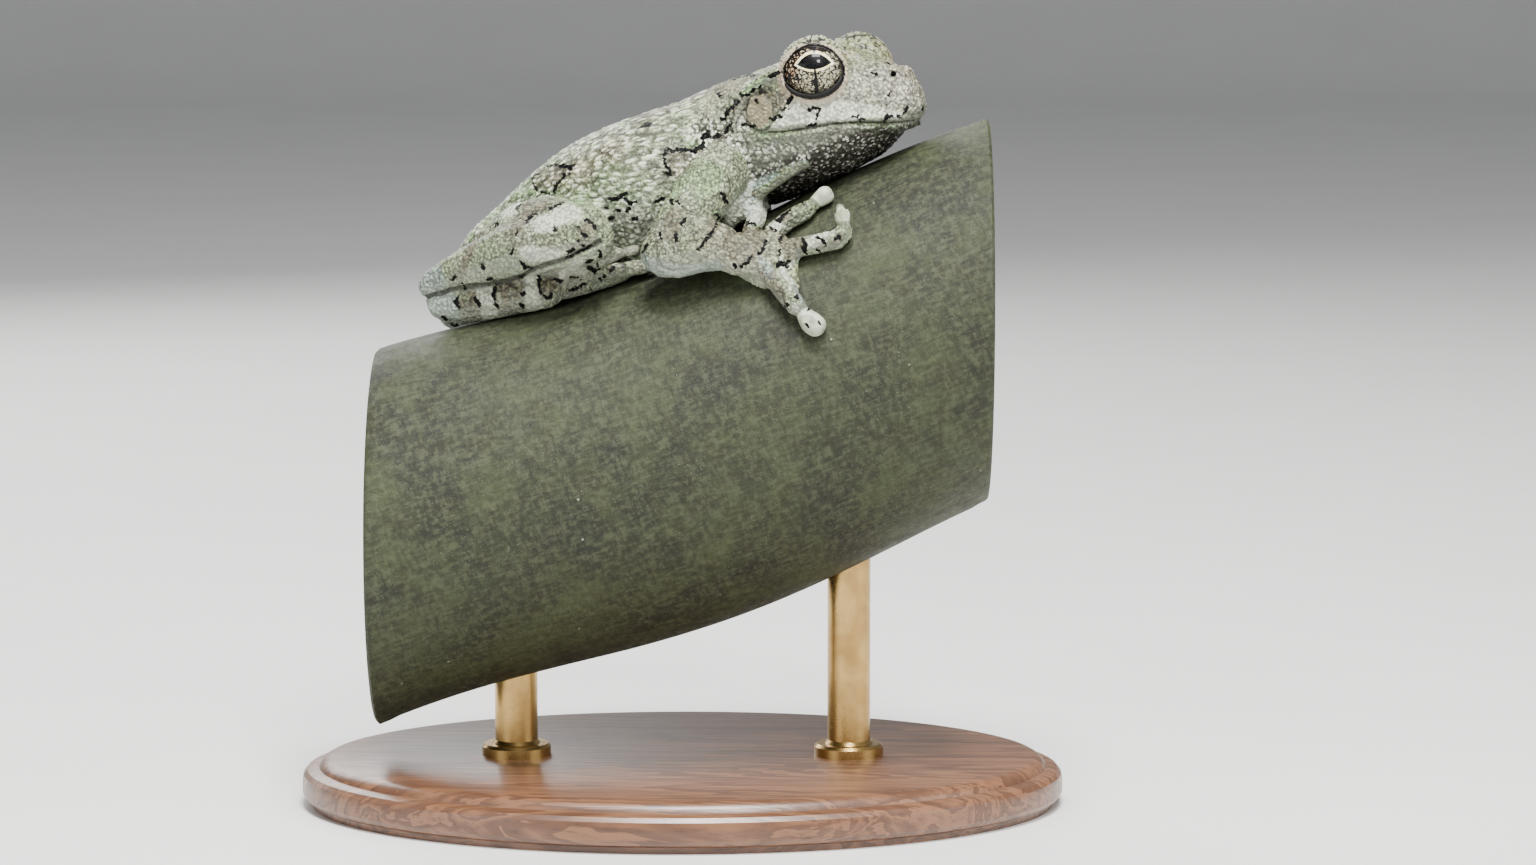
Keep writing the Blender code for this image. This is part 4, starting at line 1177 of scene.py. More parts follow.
def shapeSkin(thing):
    v = surfaceValues(thing)
    points, shape = v["points"], skinRelief
    fold = foldDepth(v["flat"], v["shares"])
    mouthWidth, mouthDepth = shape["mouth"]
    atTip = smoothStep(9.4, 10.8, v["inHead"][:, 0])
    push = -mouthDepth * v["atMouth"] * ridge(v["mouthHeight"], 0.0, mouthWidth) * (1.0 - 0.7 * atTip)
    lips = ridge(v["mouthHeight"], 0.42, 0.26) + 0.8 * ridge(v["mouthHeight"], -0.40, 0.24)
    push += shape["lip"] * v["atMouth"] * lips * (1.0 - 0.9 * atTip)
    radius, depth = shape["nostril"]
    push += shape["nostrilRim"] * ridge(v["nostril"], 0.48, 0.16) - depth * ridge(v["nostril"], 0.0, radius)
    rim, moat, dish = shape["earRelief"]
    push += rim * ridge(v["ear"], 1.0, 0.13) - moat * ridge(v["ear"], 1.32, 0.16)
    push -= dish * (1.0 - smoothStep(0.2, 0.9, v["ear"]))
    push -= shape["padGroove"] * v["padGroove"]
    smooth = np.maximum.reduce([
        v["pads"], ridge(v["mouthHeight"], 0.0, 0.40) * v["atMouth"], (v["ear"] < 0.95) * 0.6,
        (v["lidEdge"] < 1.12) * 0.8, ridge(v["nostril"], 0.0, 0.6) * 0.6, v["chest"] * 0.85,
    ])
    along = moved(points, Matrix.Rotation(math.radians(8.0), 4, "Y"))
    wobble = np.stack([swell(points / 1.3, seed) for seed in (31, 32, 33)], 1) * 0.25
    fine, streak, cobble, knob = (shape[name] for name in ("granule", "streak", "cobble", "lidKnobs"))
    fineShare = 1.0 - np.maximum(v["flank"], v["cobble"])
    grain = grains(points + wobble, fine[0], 41) * fine[1] * fineShare * (1.0 - 0.4 * v["digits"])
    grain += grains((along + wobble) * (0.32, 1.0, 1.0), streak[0], 42) * streak[1] * v["flank"]
    grain += grains(points + wobble, cobble[0], 43) * cobble[1] * v["cobble"]
    grain += grains(points, knob[0], 44) * knob[1] * v["lidTop"]
    grain *= 1.0 - smooth
    push += grain - fold - 0.5 * fine[1] - 0.5 * knob[1] * v["lidTop"]
    push *= 1.0 - v["socket"]
    setPlaces(thing, points + v["normals"] * push[:, None])
    keep(thing, "height", np.clip(grain / 0.10, 0.0, 1.0))
    keep(thing, "fold", fold)


def markSkin(thing):
    v = surfaceValues(thing)
    either = np.maximum(v["head"], v["trunk"])
    cool, pale, brown = (
        nearestMark(v["flat"], patches, v["shares"], outlineDistance, markReach["patch"])
        for patches in (coolPatches, palePatches, brownPatches)
    )
    ink = nearestMark(v["flat"], inkMarks, v["shares"], strokeDistance, markReach["stroke"])
    # Marks would smear where the side view grazes the skin, so they get thinner there.
    edgeOn = 0.13 * smoothStep(0.35, 0.10, np.abs(v["normals"] @ -np.array(away)))
    face = v["head"] * smoothStep(0.2, 0.8, v["mouthHeight"]) * smoothStep(5.6, 4.2, v["inHead"][:, 2])
    throat = outlineDistance(v["flat"], throatOutline) * sideView["unit"]
    for name, values in {
        "ink": ink + edgeOn,
        # On the chest fold, brown is painted shade on the side facing down, and cool a painted highlight on
        # the side facing up.
        "brown": np.where((v["chest"] > 0.5) & (v["normals"][:, 2] < 0.0), -0.1, brown),
        "pale": np.where((v["chest"] > 0.5) & (v["flat"][:, 0] < 735.0), -0.1, pale),
        "cool": np.where(v["chest"] > 0.5, np.where(v["normals"][:, 2] > 0.2, -0.4, 0.4), cool),
        "face": face * smoothStep(0.5, 2.0, v["inHead"][:, 0]),
        "crown": v["head"] * smoothStep(4.2, 6.2, v["inHead"][:, 2]),
        "throat": np.where(either > 0.5, throat, nowhere),
        "mouth": np.where(v["atMouth"] > 0.5, np.abs(v["mouthHeight"]), nowhere),
        "belowMouth": np.where(v["head"] > 0.5, -v["mouthHeight"], -nowhere),
        "pads": v["pads"], "ear": v["ear"], "lidEdge": v["lidEdge"], "nostril": v["nostril"],
        "flank": v["flank"], "cobble": v["cobble"], "digits": v["digits"], "padEdge": v["padGroove"],
        "socket": v["socket"], "underside": v["under"],
    }.items():
        keep(thing, name, values)


def splitFaces(thing, wanted):  # every face for whose middle wanted holds becomes four
    mesh = thing.data
    flat = np.empty(len(mesh.polygons) * 3)
    mesh.polygons.foreach_get("center", flat)
    chosen = wanted(flat.reshape(-1, 3) / mm)
    only(thing)
    bpy.ops.object.mode_set(mode="EDIT")
    bpy.ops.mesh.select_mode(type="FACE")
    bpy.ops.mesh.select_all(action="DESELECT")
    endEdit()
    mesh.polygons.foreach_set("select", chosen)
    bpy.ops.object.mode_set(mode="EDIT")
    bpy.ops.mesh.subdivide(number_cuts=1)
    endEdit()


def headSide(points):  # the seen side of the head above the throat
    local = inHeadFrame(points)
    return (local[:, 1] < -0.3) & (local[:, 0] > -1.9) & (local[:, 2] > -1.1)


def headDetails(points):  # what lies around its eye, mouth, nostril and ear
    local = inHeadFrame(points)
    inEye = inEyeFrame(points, -1.0)
    reach = np.linalg.norm(inEye, axis=1)
    near = (reach > 2.85) & (reach < 3.9) & (inEye[:, 1] > -0.6)
    near &= (lidReach(inEye) < 1.45) | (inEye[:, 2] > 0.8)
    near |= np.abs(local[:, 2] - np.interp(local[:, 0], *mouthLine)) < 0.5
    near |= nostrilDistance(points) < 0.7
    near |= earReach(local) < 1.5
    return near & headSide(points)


def seenSide(points, normals):
    return ~rightSide(points)[1] & (normals @ -np.array(away) > 0.05)


def closeInk(points):
    right, onLeft = rightSide(points)
    everywhere = {region: np.ones(len(points)) for region in regionNodes}
    ink = nearestMark(inSideView(right), inkMarks, everywhere, strokeDistance, markReach["split"])
    return ~onLeft & (ink < 0.13) & ~headDetails(points)


splitFaces(skin, headDetails)
points = places(skin)
share = headDetails(points).astype(float)
points = relaxed(points, joinsOf(skin), share, 4, keepSize=True)
setPlaces(skin, points)
shapeSkin(skin)
print("skin shaped,", len(skin.data.polygons), "faces")

# Fewer faces where nobody looks closely, more along the fine dark marks. A higher level means fewer faces.
coarseLevels = {"elsewhere": 0.75, "under": 0.9, "digits": 0.6, "seen": 0.5, "head": 0.0}
points = places(skin)
normals = facing(skin)
digit = np.minimum.reduce([
    values for node, values in nodeDistances(points, 0.6).items() if node[:4] in ("hand", "foot")
])
coarse = np.full(len(points), coarseLevels["elsewhere"])
coarse[normals[:, 2] < -0.4] = coarseLevels["under"]
coarse[digit < 0.5] = coarseLevels["digits"]
coarse[seenSide(points, normals)] = coarseLevels["seen"]
coarse[headSide(points)] = coarseLevels["head"]
group = skin.vertex_groups.new(name="coarse")
for level in coarseLevels.values():
    if level > 0.0:
        group.add(np.nonzero(coarse == level)[0].tolist(), level, "REPLACE")
applyModifier(skin, "TRIANGULATE")
faces = len(skin.data.polygons)
if faces > skinForm["triangles"]:
    applyModifier(
        skin, "DECIMATE", ratio=skinForm["triangles"] / faces, use_collapse_triangulate=True,
        vertex_group="coarse", vertex_group_factor=1.0,
    )
skin.vertex_groups.clear()
splitFaces(skin, closeInk)
applyModifier(skin, "TRIANGULATE")
markSkin(skin)
smoothShade(skin)
print("skin has", len(skin.data.polygons), "triangles, from", faces)
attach(skin, "root")
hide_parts(*fleshNodes)


# The skin's colours: red, green and blue as a screen shows them, 0 to 255.
# gap is the painted shade for hollows between granules and for folds, and top the painted highlight on
# granule tops; top also colours pale beads on the cobbles, and mouth is painted shade in the mouth's groove.
skinTones = {
    "low": (130, 134, 104), "high": (207, 216, 181), "green": (150, 186, 122), "pink": (186, 162, 132),
    "limb": (190, 190, 162), "dusk": (106, 102, 80), "grain": (32, 28, 21), "brown": (136, 128, 100),
    "brownDark": (60, 53, 41), "pale": (228, 233, 210), "cool": (164, 186, 182), "crown": (134, 132, 94),
    "jaw": (52, 46, 37), "throat": (36, 31, 25), "throatDot": (216, 215, 204), "gap": (30, 28, 21),
    "top": (243, 246, 226), "ear": (142, 130, 100), "lid": (214, 192, 164), "ink": (4, 4, 4),
    "mouth": (26, 22, 18), "padLow": (116, 122, 100), "padHigh": (184, 192, 170), "belly": (190, 198, 180),
    "blotch": (52, 47, 37), "face": (232, 220, 208), "jawBrown": (54, 45, 34),
}


def skinFinish():
    material, tree, shader = newMaterial("frogSkin")
    place = inMillimetres(tree)
    flow = inMillimetres(tree, (0.0, math.radians(8.0), 0.0), (0.40, 1.0, 1.0))
    times, plus, minus, most = sumsIn(tree)
    jitter = minus(noise(tree, place, 0.30, 3.0, 0.65), 0.5)
    jitterWide = minus(noise(tree, place, 0.9, 3.0, 0.55), 0.5)

    def less(share):
        return minus(1.0, share)

    def inside(name, soft, ragged, ragWide=0.0, bias=0.0):
        value = plus(kept(tree, name), plus(times(jitter, ragged), times(jitterWide, ragWide)))
        return ramp(tree, value, soft + bias, bias - soft)

    def tone(name):
        return rgb(*skinTones[name])

    def over(share, colour, above):
        return blendColour(tree, share, colour, tone(above) if isinstance(above, str) else above)

    fine = cells(tree, place, 0.30, "SMOOTH_F1", "Distance", 0.30)
    tiny = cells(tree, place, 0.24, "F1")
    beads = cells(tree, place, 0.36, "F1")
    rows = cells(tree, flow, 0.40, "SMOOTH_F1", "Distance", 0.25)
    single = put(tree, "ShaderNodeSeparateColor", {0: cells(tree, place, 0.30, "F1", "Color")}).outputs[0]
    flank = kept(tree, "flank")
    cobble = kept(tree, "cobble")
    height = kept(tree, "height")
    fold = most(kept(tree, "fold"), 0.0)
    digits = kept(tree, "digits")
    pads = kept(tree, "pads")
    pale = inside("pale", 0.20, 0.60, 0.60)
    bare = less(most(pads, times(pale, 0.22)))
    crown = kept(tree, "crown")
    dark = ramp(tree, plus(kept(tree, "throat"), times(jitterWide, 4.0)), 1.4, -0.9)

    # Ground colour: cream grey with faint pink, green and tan drifts.
    drift = noise(tree, place, 5.5, 3.0, 0.55)
    drift2 = noise(tree, place, 1.5, 4.0, 0.65)
    drift3 = noise(tree, place, 7.0, 2.0, 0.5)
    colour = blendColour(tree, ramp(tree, drift2, 0.34, 0.60), tone("low"), tone("high"))
    colour = over(ramp(tree, drift, 0.40, 0.60, 0.06, 0.85), colour, "green")
    colour = over(times(kept(tree, "face"), 0.50), colour, "face")
    colour = over(ramp(tree, drift3, 0.54, 0.70, 0.0, 0.45), colour, "pink")
    colour = over(times(ramp(tree, digits, 0.2, 0.8), 0.30), colour, "limb")
    colour = over(times(ramp(tree, single, 0.1, 0.9), 0.34), colour, "dusk")

    # Fine dark grains and larger blotches, thicker in some places than others.
    dust = noise(tree, place, 0.20, 2.0, 0.7)
    thick = noise(tree, place, 1.3, 4.0, 0.65)
    level = plus(times(thick, 0.45), times(dust, 0.75))
    colour = over(ramp(tree, level, 0.63, 0.69, 0.0, 0.80), colour, "grain")
    blotch = plus(noise(tree, place, 0.7, 5.0, 0.72), times(noise(tree, place, 3.2, 3.0, 0.6), 0.5))
    colour = over(ramp(tree, blotch, 0.83, 0.91, 0.0, 0.55), colour, "blotch")

    # On the chest fold, brown is painted shade on the underside and cool a painted highlight on the upper
    # side.
    broken = ramp(tree, noise(tree, place, 0.8, 3.0, 0.6), 0.50, 0.60, 0.88, 0.35)
    brown = times(inside("brown", 0.08, 0.45, 0.6), broken)
    mottle = noise(tree, place, 0.45, 4.0, 0.7)
    brownTone = blendColour(tree, ramp(tree, mottle, 0.40, 0.56), tone("brownDark"), tone("brown"))
    colour = over(brown, colour, brownTone)
    colour = over(times(pale, 0.70), colour, "pale")
    colour = over(times(inside("cool", 0.25, 0.45, 0.6), 0.60), colour, "cool")
    colour = over(times(crown, 0.74), colour, "crown")

    # Below the mouth the grey is mottled, and the throat has white grains on near black.
    jaw = ramp(tree, kept(tree, "belowMouth"), 0.25, 0.9)
    jaw = times(jaw, ramp(tree, plus(mottle, times(thick, 0.5)), 0.60, 0.82, 0.22, 0.88))
    colour = over(jaw, colour, "jaw")
    clouds = ramp(tree, noise(tree, place, 0.8, 5.0, 0.72), 0.47, 0.54)
    clouds = times(clouds, ramp(tree, kept(tree, "belowMouth"), 0.2, 0.7))
    colour = over(times(clouds, 0.88), colour, "jawBrown")

    # Painted shade darkens the gaps between the granules, and a painted highlight makes their tops paler.
    rowGapShade = times(ramp(tree, rows, 0.38, 0.60), flank)
    fineGapShade = times(ramp(tree, fine, 0.40, 0.62), less(flank))
    colour = over(times(times(plus(rowGapShade, fineGapShade), 0.64), bare), colour, "gap")
    # low is painted shade where the granules' relief is low, stronger on the cobbles.
    low = times(ramp(tree, height, 0.60, 0.04), plus(0.42, plus(times(cobble, 0.50), times(flank, 0.12))))
    colour = over(times(low, bare), colour, "gap")
    granuleHighlight = times(ramp(tree, height, 0.45, 1.0, 0.0, 0.45), less(times(crown, 0.65)))
    colour = over(granuleHighlight, colour, "top")
    colour = over(times(kept(tree, "underside"), 0.25), colour, "belly")
    beadShare = ramp(tree, noise(tree, place, 1.1, 3.0), 0.40, 0.56, 0.35, 1.0)
    beadShare = times(ramp(tree, beads, 0.46, 0.26), beadShare)
    throatTone = blendColour(tree, beadShare, tone("throat"), tone("throatDot"))
    colour = over(times(dark, 0.88), colour, throatTone)
    colour = over(times(times(beadShare, less(dark)), times(cobble, 0.55)), colour, "top")
    # Painted shade in the skin's folds.
    colour = over(ramp(tree, fold, 0.03, 0.20, 0.0, 0.78), colour, "gap")

    # Ear, lid margin, nostril, mouth and pads.
    earRing = mathNode(tree, "ABSOLUTE", minus(kept(tree, "ear"), 1.20))
    colour = over(ramp(tree, kept(tree, "ear"), 1.1, 0.9, 0.0, 0.45), colour, "ear")
    colour = over(ramp(tree, earRing, 0.16, 0.03, 0.0, 0.75), colour, "grain")
    colour = over(ramp(tree, kept(tree, "lidEdge"), 1.26, 1.10, 0.0, 0.50), colour, "lid")
    padTone = blendColour(tree, ramp(tree, thick, 0.38, 0.58), tone("padLow"), tone("padHigh"))
    colour = over(times(pads, 0.80), colour, padTone)
    # Painted shade: a dark ring at each pad's edge and in the groove around it, in the blotch tone.
    padRimShade = mathNode(tree, "ABSOLUTE", minus(pads, 0.45))
    colour = over(times(ramp(tree, padRimShade, 0.32, 0.05), 0.55), colour, "blotch")
    colour = over(times(kept(tree, "padEdge"), 0.45), colour, "blotch")
    jagged = times(minus(fine, 0.42), -0.16)
    jagged = plus(plus(jagged, kept(tree, "ink")), plus(times(jitter, 0.60), times(jitterWide, 0.40)))
    ink = ramp(tree, jagged, 0.075, 0.015)
    colour = over(ink, colour, "ink")
    # Painted shade: the mouth's groove is painted near black.
    colour = over(ramp(tree, kept(tree, "mouth"), 0.14, 0.03, 0.0, 0.85), colour, "mouth")
    # Painted shade: the nostril's pit is painted black.
    nostrilShade = ramp(tree, kept(tree, "nostril"), 0.30, 0.20)
    colour = over(nostrilShade, colour, "ink")
    # Painted shade: the socket around each eyeball is painted black.
    colour = over(kept(tree, "socket"), colour, "ink")
    blackest = most(most(ink, nostrilShade), times(dark, 0.9))
    fill(tree, shader, {
        "Base Color": colour,
        "Roughness": ramp(tree, plus(height, dust), 0.3, 1.6, 0.58, 0.40),
        "Specular IOR Level": ramp(tree, blackest, 0.0, 1.0, 0.42, 0.12),
    })
    relief = plus(times(less(fine), less(flank)), times(less(rows), flank))
    relief = plus(relief, times(less(tiny), 0.45))
    relief = plus(times(relief, bare), times(dust, 0.25))
    addBump(tree, shader, relief, 1.0, 0.15)
    return material


skin.data.materials.clear()
skin.data.materials.append(skinFinish())
print("skin is finished")


# The eyes, each with a dark rim and a lower lid.

eyeForm = {
    "cornea": 0.10,                # mm that the clear front stands out
    "middle": (-0.15, -0.20),      # of the opening, from the ball's own middle
    "rimHalf": (2.46, 1.93),       # half length and half height of the opening
    "rimThick": (0.075, 0.13),     # above and below
    "corner": 0.16,                # the opening's pointed back corner
    "rimOut": 0.06,                # over the ball
    "lidHalf": (2.46, 2.13),
    "lidThick": 0.20,
    "lidOut": (0.04, 0.18),        # over the ball above, and how much more below
    "wire": 0.25,                  # the ring's own half thickness before it is shaped
}


def eyeball(side, name):
    bpy.ops.mesh.primitive_uv_sphere_add(segments=96, ring_count=64, radius=eyePlace["radius"] * mm)
    ball = bpy.context.object
    ball.name = name
    points = places(ball)
    local = points[:, [0, 2, 1]] * (1.0, 1.0, -1.0)   # the sphere's poles lie in front and behind
    out = smoothStep(0.2, 2.4, local[:, 1])
    local *= 1.0 + (out * eyeForm["cornea"] / eyePlace["radius"])[:, None]
    keep(ball, "irisPlace", local)
    setPlaces(ball, moved(local, eyeToWorld(side)))
    recalculate(ball)
    smoothShade(ball)
    return ball


def eyeRing(side, name, half, reach, thick):
    wire = eyeForm["wire"]
    bpy.ops.mesh.primitive_torus_add(
        major_segments=120, minor_segments=14, major_radius=1.0, minor_radius=wire
    )
    ring = bpy.context.object
    ring.name = name
    points = places(ring) * mm
    turn = np.arctan2(points[:, 1], points[:, 0])
    across = np.hypot(points[:, 0], points[:, 1]) - 1.0
    cross = np.stack((across, points[:, 2]), 1) / wire
    middle = eyeForm["middle"]
    corner = eyeForm["corner"] * ridge(np.abs(turn), np.pi, 0.30)
    x = middle[0] + half[0] * np.cos(turn) - corner
    z = middle[1] + np.where(turn > 0.0, eyeForm["rimHalf"][1], half[1]) * np.sin(turn)
    size = thick(turn)
    reach = reach(turn)
    y = np.sqrt(np.maximum(reach ** 2 - x ** 2 - z ** 2, 0.02))
    centre = np.stack((x, y, z), 1)
    outward = centre / reach[:, None]
    along = np.stack((-half[0] * np.sin(turn), np.zeros_like(turn), half[1] * np.cos(turn)), 1)
    along -= outward * np.sum(along * outward, axis=1)[:, None]
    along /= np.linalg.norm(along, axis=1)[:, None]
    sideways = np.cross(along, outward)
    local = centre + size[:, None] * (sideways * cross[:, :1] + 0.8 * outward * cross[:, 1:])
    setPlaces(ring, moved(local, eyeToWorld(side)))
    keep(ring, "outer", cross[:, 0])
    recalculate(ring)
    smoothShade(ring)
    return ring


eyes = []
rims = []
for side, name in ((-1.0, "Right"), (1.0, "Left")):
    ball = eyeball(side, "eye" + name)
    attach(ball, "root")
    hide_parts("eye_" + name.lower())
    eyes.append(ball)
    top, bottom = eyeForm["rimThick"]
    lidAbove, lidBelow = eyeForm["lidOut"]
    rim = eyeRing(
        side, "eyeRim" + name, eyeForm["rimHalf"],
        lambda turn: np.full(len(turn), eyePlace["radius"] + eyeForm["rimOut"]),
        lambda turn: top + (bottom - top) * smoothStep(0.4, -0.7, np.sin(turn + 0.5)),
    )
    lid = eyeRing(
        side, "lowerLid" + name, eyeForm["lidHalf"],
        lambda turn: eyePlace["radius"] + lidAbove + lidBelow * smoothStep(0.1, -0.5, np.sin(turn)),
        lambda turn: 0.02 + eyeForm["lidThick"] * smoothStep(0.0, -0.8, np.sin(turn)),
    )
    rims += [rim, lid]
    for ring in (rim, lid):
        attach(ring, "root")
print("eyes are made")


# The perch is a short length of smooth limb.

perchForm = {
    "sides": 144,
    "reach": 46.0,                 # mm to each side before the ends are cut upright
    "rings": 92,
    "relief": 0.16,                # mm of unevenness in the bark
    "rippleRows": 12,              # of saw marks on each end
    "ripple": 0.05,
}


def makePerch():
    bpy.ops.mesh.primitive_circle_add(
        vertices=perchForm["sides"], radius=limbPlace["radius"] * mm, fill_type="NGON"
    )
    limb = bpy.context.object
    limb.name = "perchLimb"
    startEdit("SELECT")
    step = 2.0 * perchForm["reach"] / perchForm["rings"]
    for ring in range(perchForm["rings"]):
        extrude(0.0, 0.0, step * mm)
    endEdit()
    # The length runs up +Z so far, and is laid along the limb's own X with its sway.
    raw = places(limb)
    x = raw[:, 2] - perchForm["reach"]
    across = raw[:, 0]
    up = raw[:, 1]
    girth = np.arctan2(across, up)
    slow = swell(np.stack((np.cos(girth) * 2.2, np.sin(girth) * 2.2, x / 9.0), 1) + 40.0, 3)
    streak = swell(np.stack((np.cos(girth) * 9.0, np.sin(girth) * 9.0, x / 7.0), 1) + 70.0, 5)
    inward = perchForm["relief"] * (0.55 * (0.5 + 0.5 * slow) + 0.45 * (0.5 + 0.5 * streak))
    size = np.where(np.hypot(across, up) > 1.0, limbPlace["radius"] - inward, 0.0) / limbPlace["radius"]
    local = np.stack((x, across * size, up * size + limbAxis(x)), 1)
    setPlaces(limb, moved(local, limbToWorld))
    recalculate(limb)
    for side in (-1.0, 1.0):
        startEdit("SELECT")
        bpy.ops.mesh.bisect(
            plane_co=(side * limbPlace["halfLength"] * mm, 0.0, 0.0), plane_no=(side, 0.0, 0.0),
            use_fill=True, clear_outer=True, threshold=1e-7,
        )
        endEdit()
    return limb


def sawnEnds(limb):
    for side in (-1.0, 1.0):
        startEdit("DESELECT")
        endEdit()
        corners = []
        for face in limb.data.polygons:
            face.select = face.normal.x * side > 0.99 and len(face.vertices) > 8
            if face.select:
                corners += [limb.data.vertices[i].co for i in face.vertices]
        centre = sum(corners, Vector()) / len(corners)
        bpy.ops.object.mode_set(mode="EDIT")
        bpy.ops.mesh.select_mode(type="FACE")
        # Chamfered bark, a fine step at the wood, and shallow saw ripples towards the heart.
        loops = [(0.986, 0.22), (0.93, 0.0), (0.99, -0.10)]
        for i in range(perchForm["rippleRows"]):
            loops.append((0.9, perchForm["ripple"] if i % 2 else -perchForm["ripple"]))
        for factor, out in loops:
            extrude(side * out * mm, 0.0, 0.0)
            bpy.ops.transform.resize(value=(1.0, factor, factor), center_override=centre)
        endEdit()
        moreOut = max(side * v.co.x for v in limb.data.vertices) - limbPlace["halfLength"] * mm
        for vert in limb.data.vertices:
            if side * vert.co.x > (limbPlace["halfLength"] - 1.0) * mm:
                vert.co.x -= side * moreOut


perch = makePerch()
sawnEnds(perch)
smoothShade(perch, 40.0)
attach(perch, "root")
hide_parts("perch_limb")
print("perch is made")


# The stand is an oval foot with two rods.

standForm = {
    "size": (64.0, 46.0, 4.0),
    "rods": {"standRodFront": ("stand_rod_front", 14.0), "standRodRear": ("stand_rod_rear", -14.0)},
    "inset": 1.6,                  # mm that the first outline is smaller than the base
    "rodRadius": 1.8,
    "rodBottom": 3.9,
    "rodInLimb": 0.25,             # mm that a rod goes on into the limb
    "collar": (2.9, 1.1),          # radius and height
}


def makeBase():
    length, width, height = standForm["size"]
    bpy.ops.mesh.primitive_circle_add(vertices=180, radius=0.5 * mm, fill_type="NGON")
    base = bpy.context.object
    base.name = "standBase"
    across = np.array([length, width]) - standForm["inset"]
    base.scale = (across[0], across[1], 1.0)
    applyPlace(base)
    startEdit("SELECT")
    # How far each ring grows and rises from below: foot recess, full round side, small step and flat top.
    profile = [(0.0, 0.5), (0.55, 0.25), (0.25, 0.4), (0.0, 0.55), (0.0, 0.5), (-0.10, 0.45), (-0.30, 0.35),
               (-0.55, 0.20), (-0.45, 0.0), (-0.10, 0.22), (-0.25, 0.28), (-0.35, 0.20), (-0.45, 0.10)]
    for grow, rise in profile:
        extrude(0.0, 0.0, rise * mm)
        if grow:
            factor = 1.0 + 2.0 * grow / across
            bpy.ops.transform.resize(value=(factor[0], factor[1], 1.0))
    endEdit()
    recalculate(base)
    points = places(base)
    points[:, 2] *= height / points[:, 2].max()
    for axis, whole in ((0, length), (1, width)):
        points[:, axis] *= whole / (points[:, axis].max() - points[:, axis].min())
    setPlaces(base, points)
    smoothShade(base, 28.0)
    return base


def makeRod(name, node, x):
    low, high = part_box(node)
    bottom = standForm["rodBottom"]
    top = high.z / mm + standForm["rodInLimb"]
    radius = standForm["rodRadius"]
    bpy.ops.mesh.primitive_circle_add(
        vertices=64, radius=radius * mm, fill_type="NGON", location=(x * mm, 0.0, bottom * mm)
    )
    rod = bpy.context.object
    rod.name = name
    applyPlace(rod)
    collarRadius, collarHeight = standForm["collar"]
    steps = [(collarRadius, 0.0), (collarRadius, 0.12), (collarRadius, collarHeight - 0.25),
             (collarRadius - 0.22, collarHeight), (radius + 0.25, collarHeight), (radius, collarHeight + 0.3)]
    startEdit("SELECT")
    nowRadius = radius
    nowHeight = 0.0
    for nextRadius, nextHeight in steps + [(radius, top - bottom)]:
        extrude(0.0, 0.0, (nextHeight - nowHeight) * mm)
        factor = nextRadius / nowRadius
        bpy.ops.transform.resize(value=(factor, factor, 1.0))
        nowRadius, nowHeight = nextRadius, nextHeight
    endEdit()
    recalculate(rod)
    smoothShade(rod, 35.0)
    return rod


base = makeBase()
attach(base, "root")
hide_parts("stand_base")
rods = []
for name, (node, x) in standForm["rods"].items():
    rod = makeRod(name, node, x)
    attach(rod, "root")
    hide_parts(node)
    rods.append(rod)
print("stand is made")


# Finishes of the eyes.


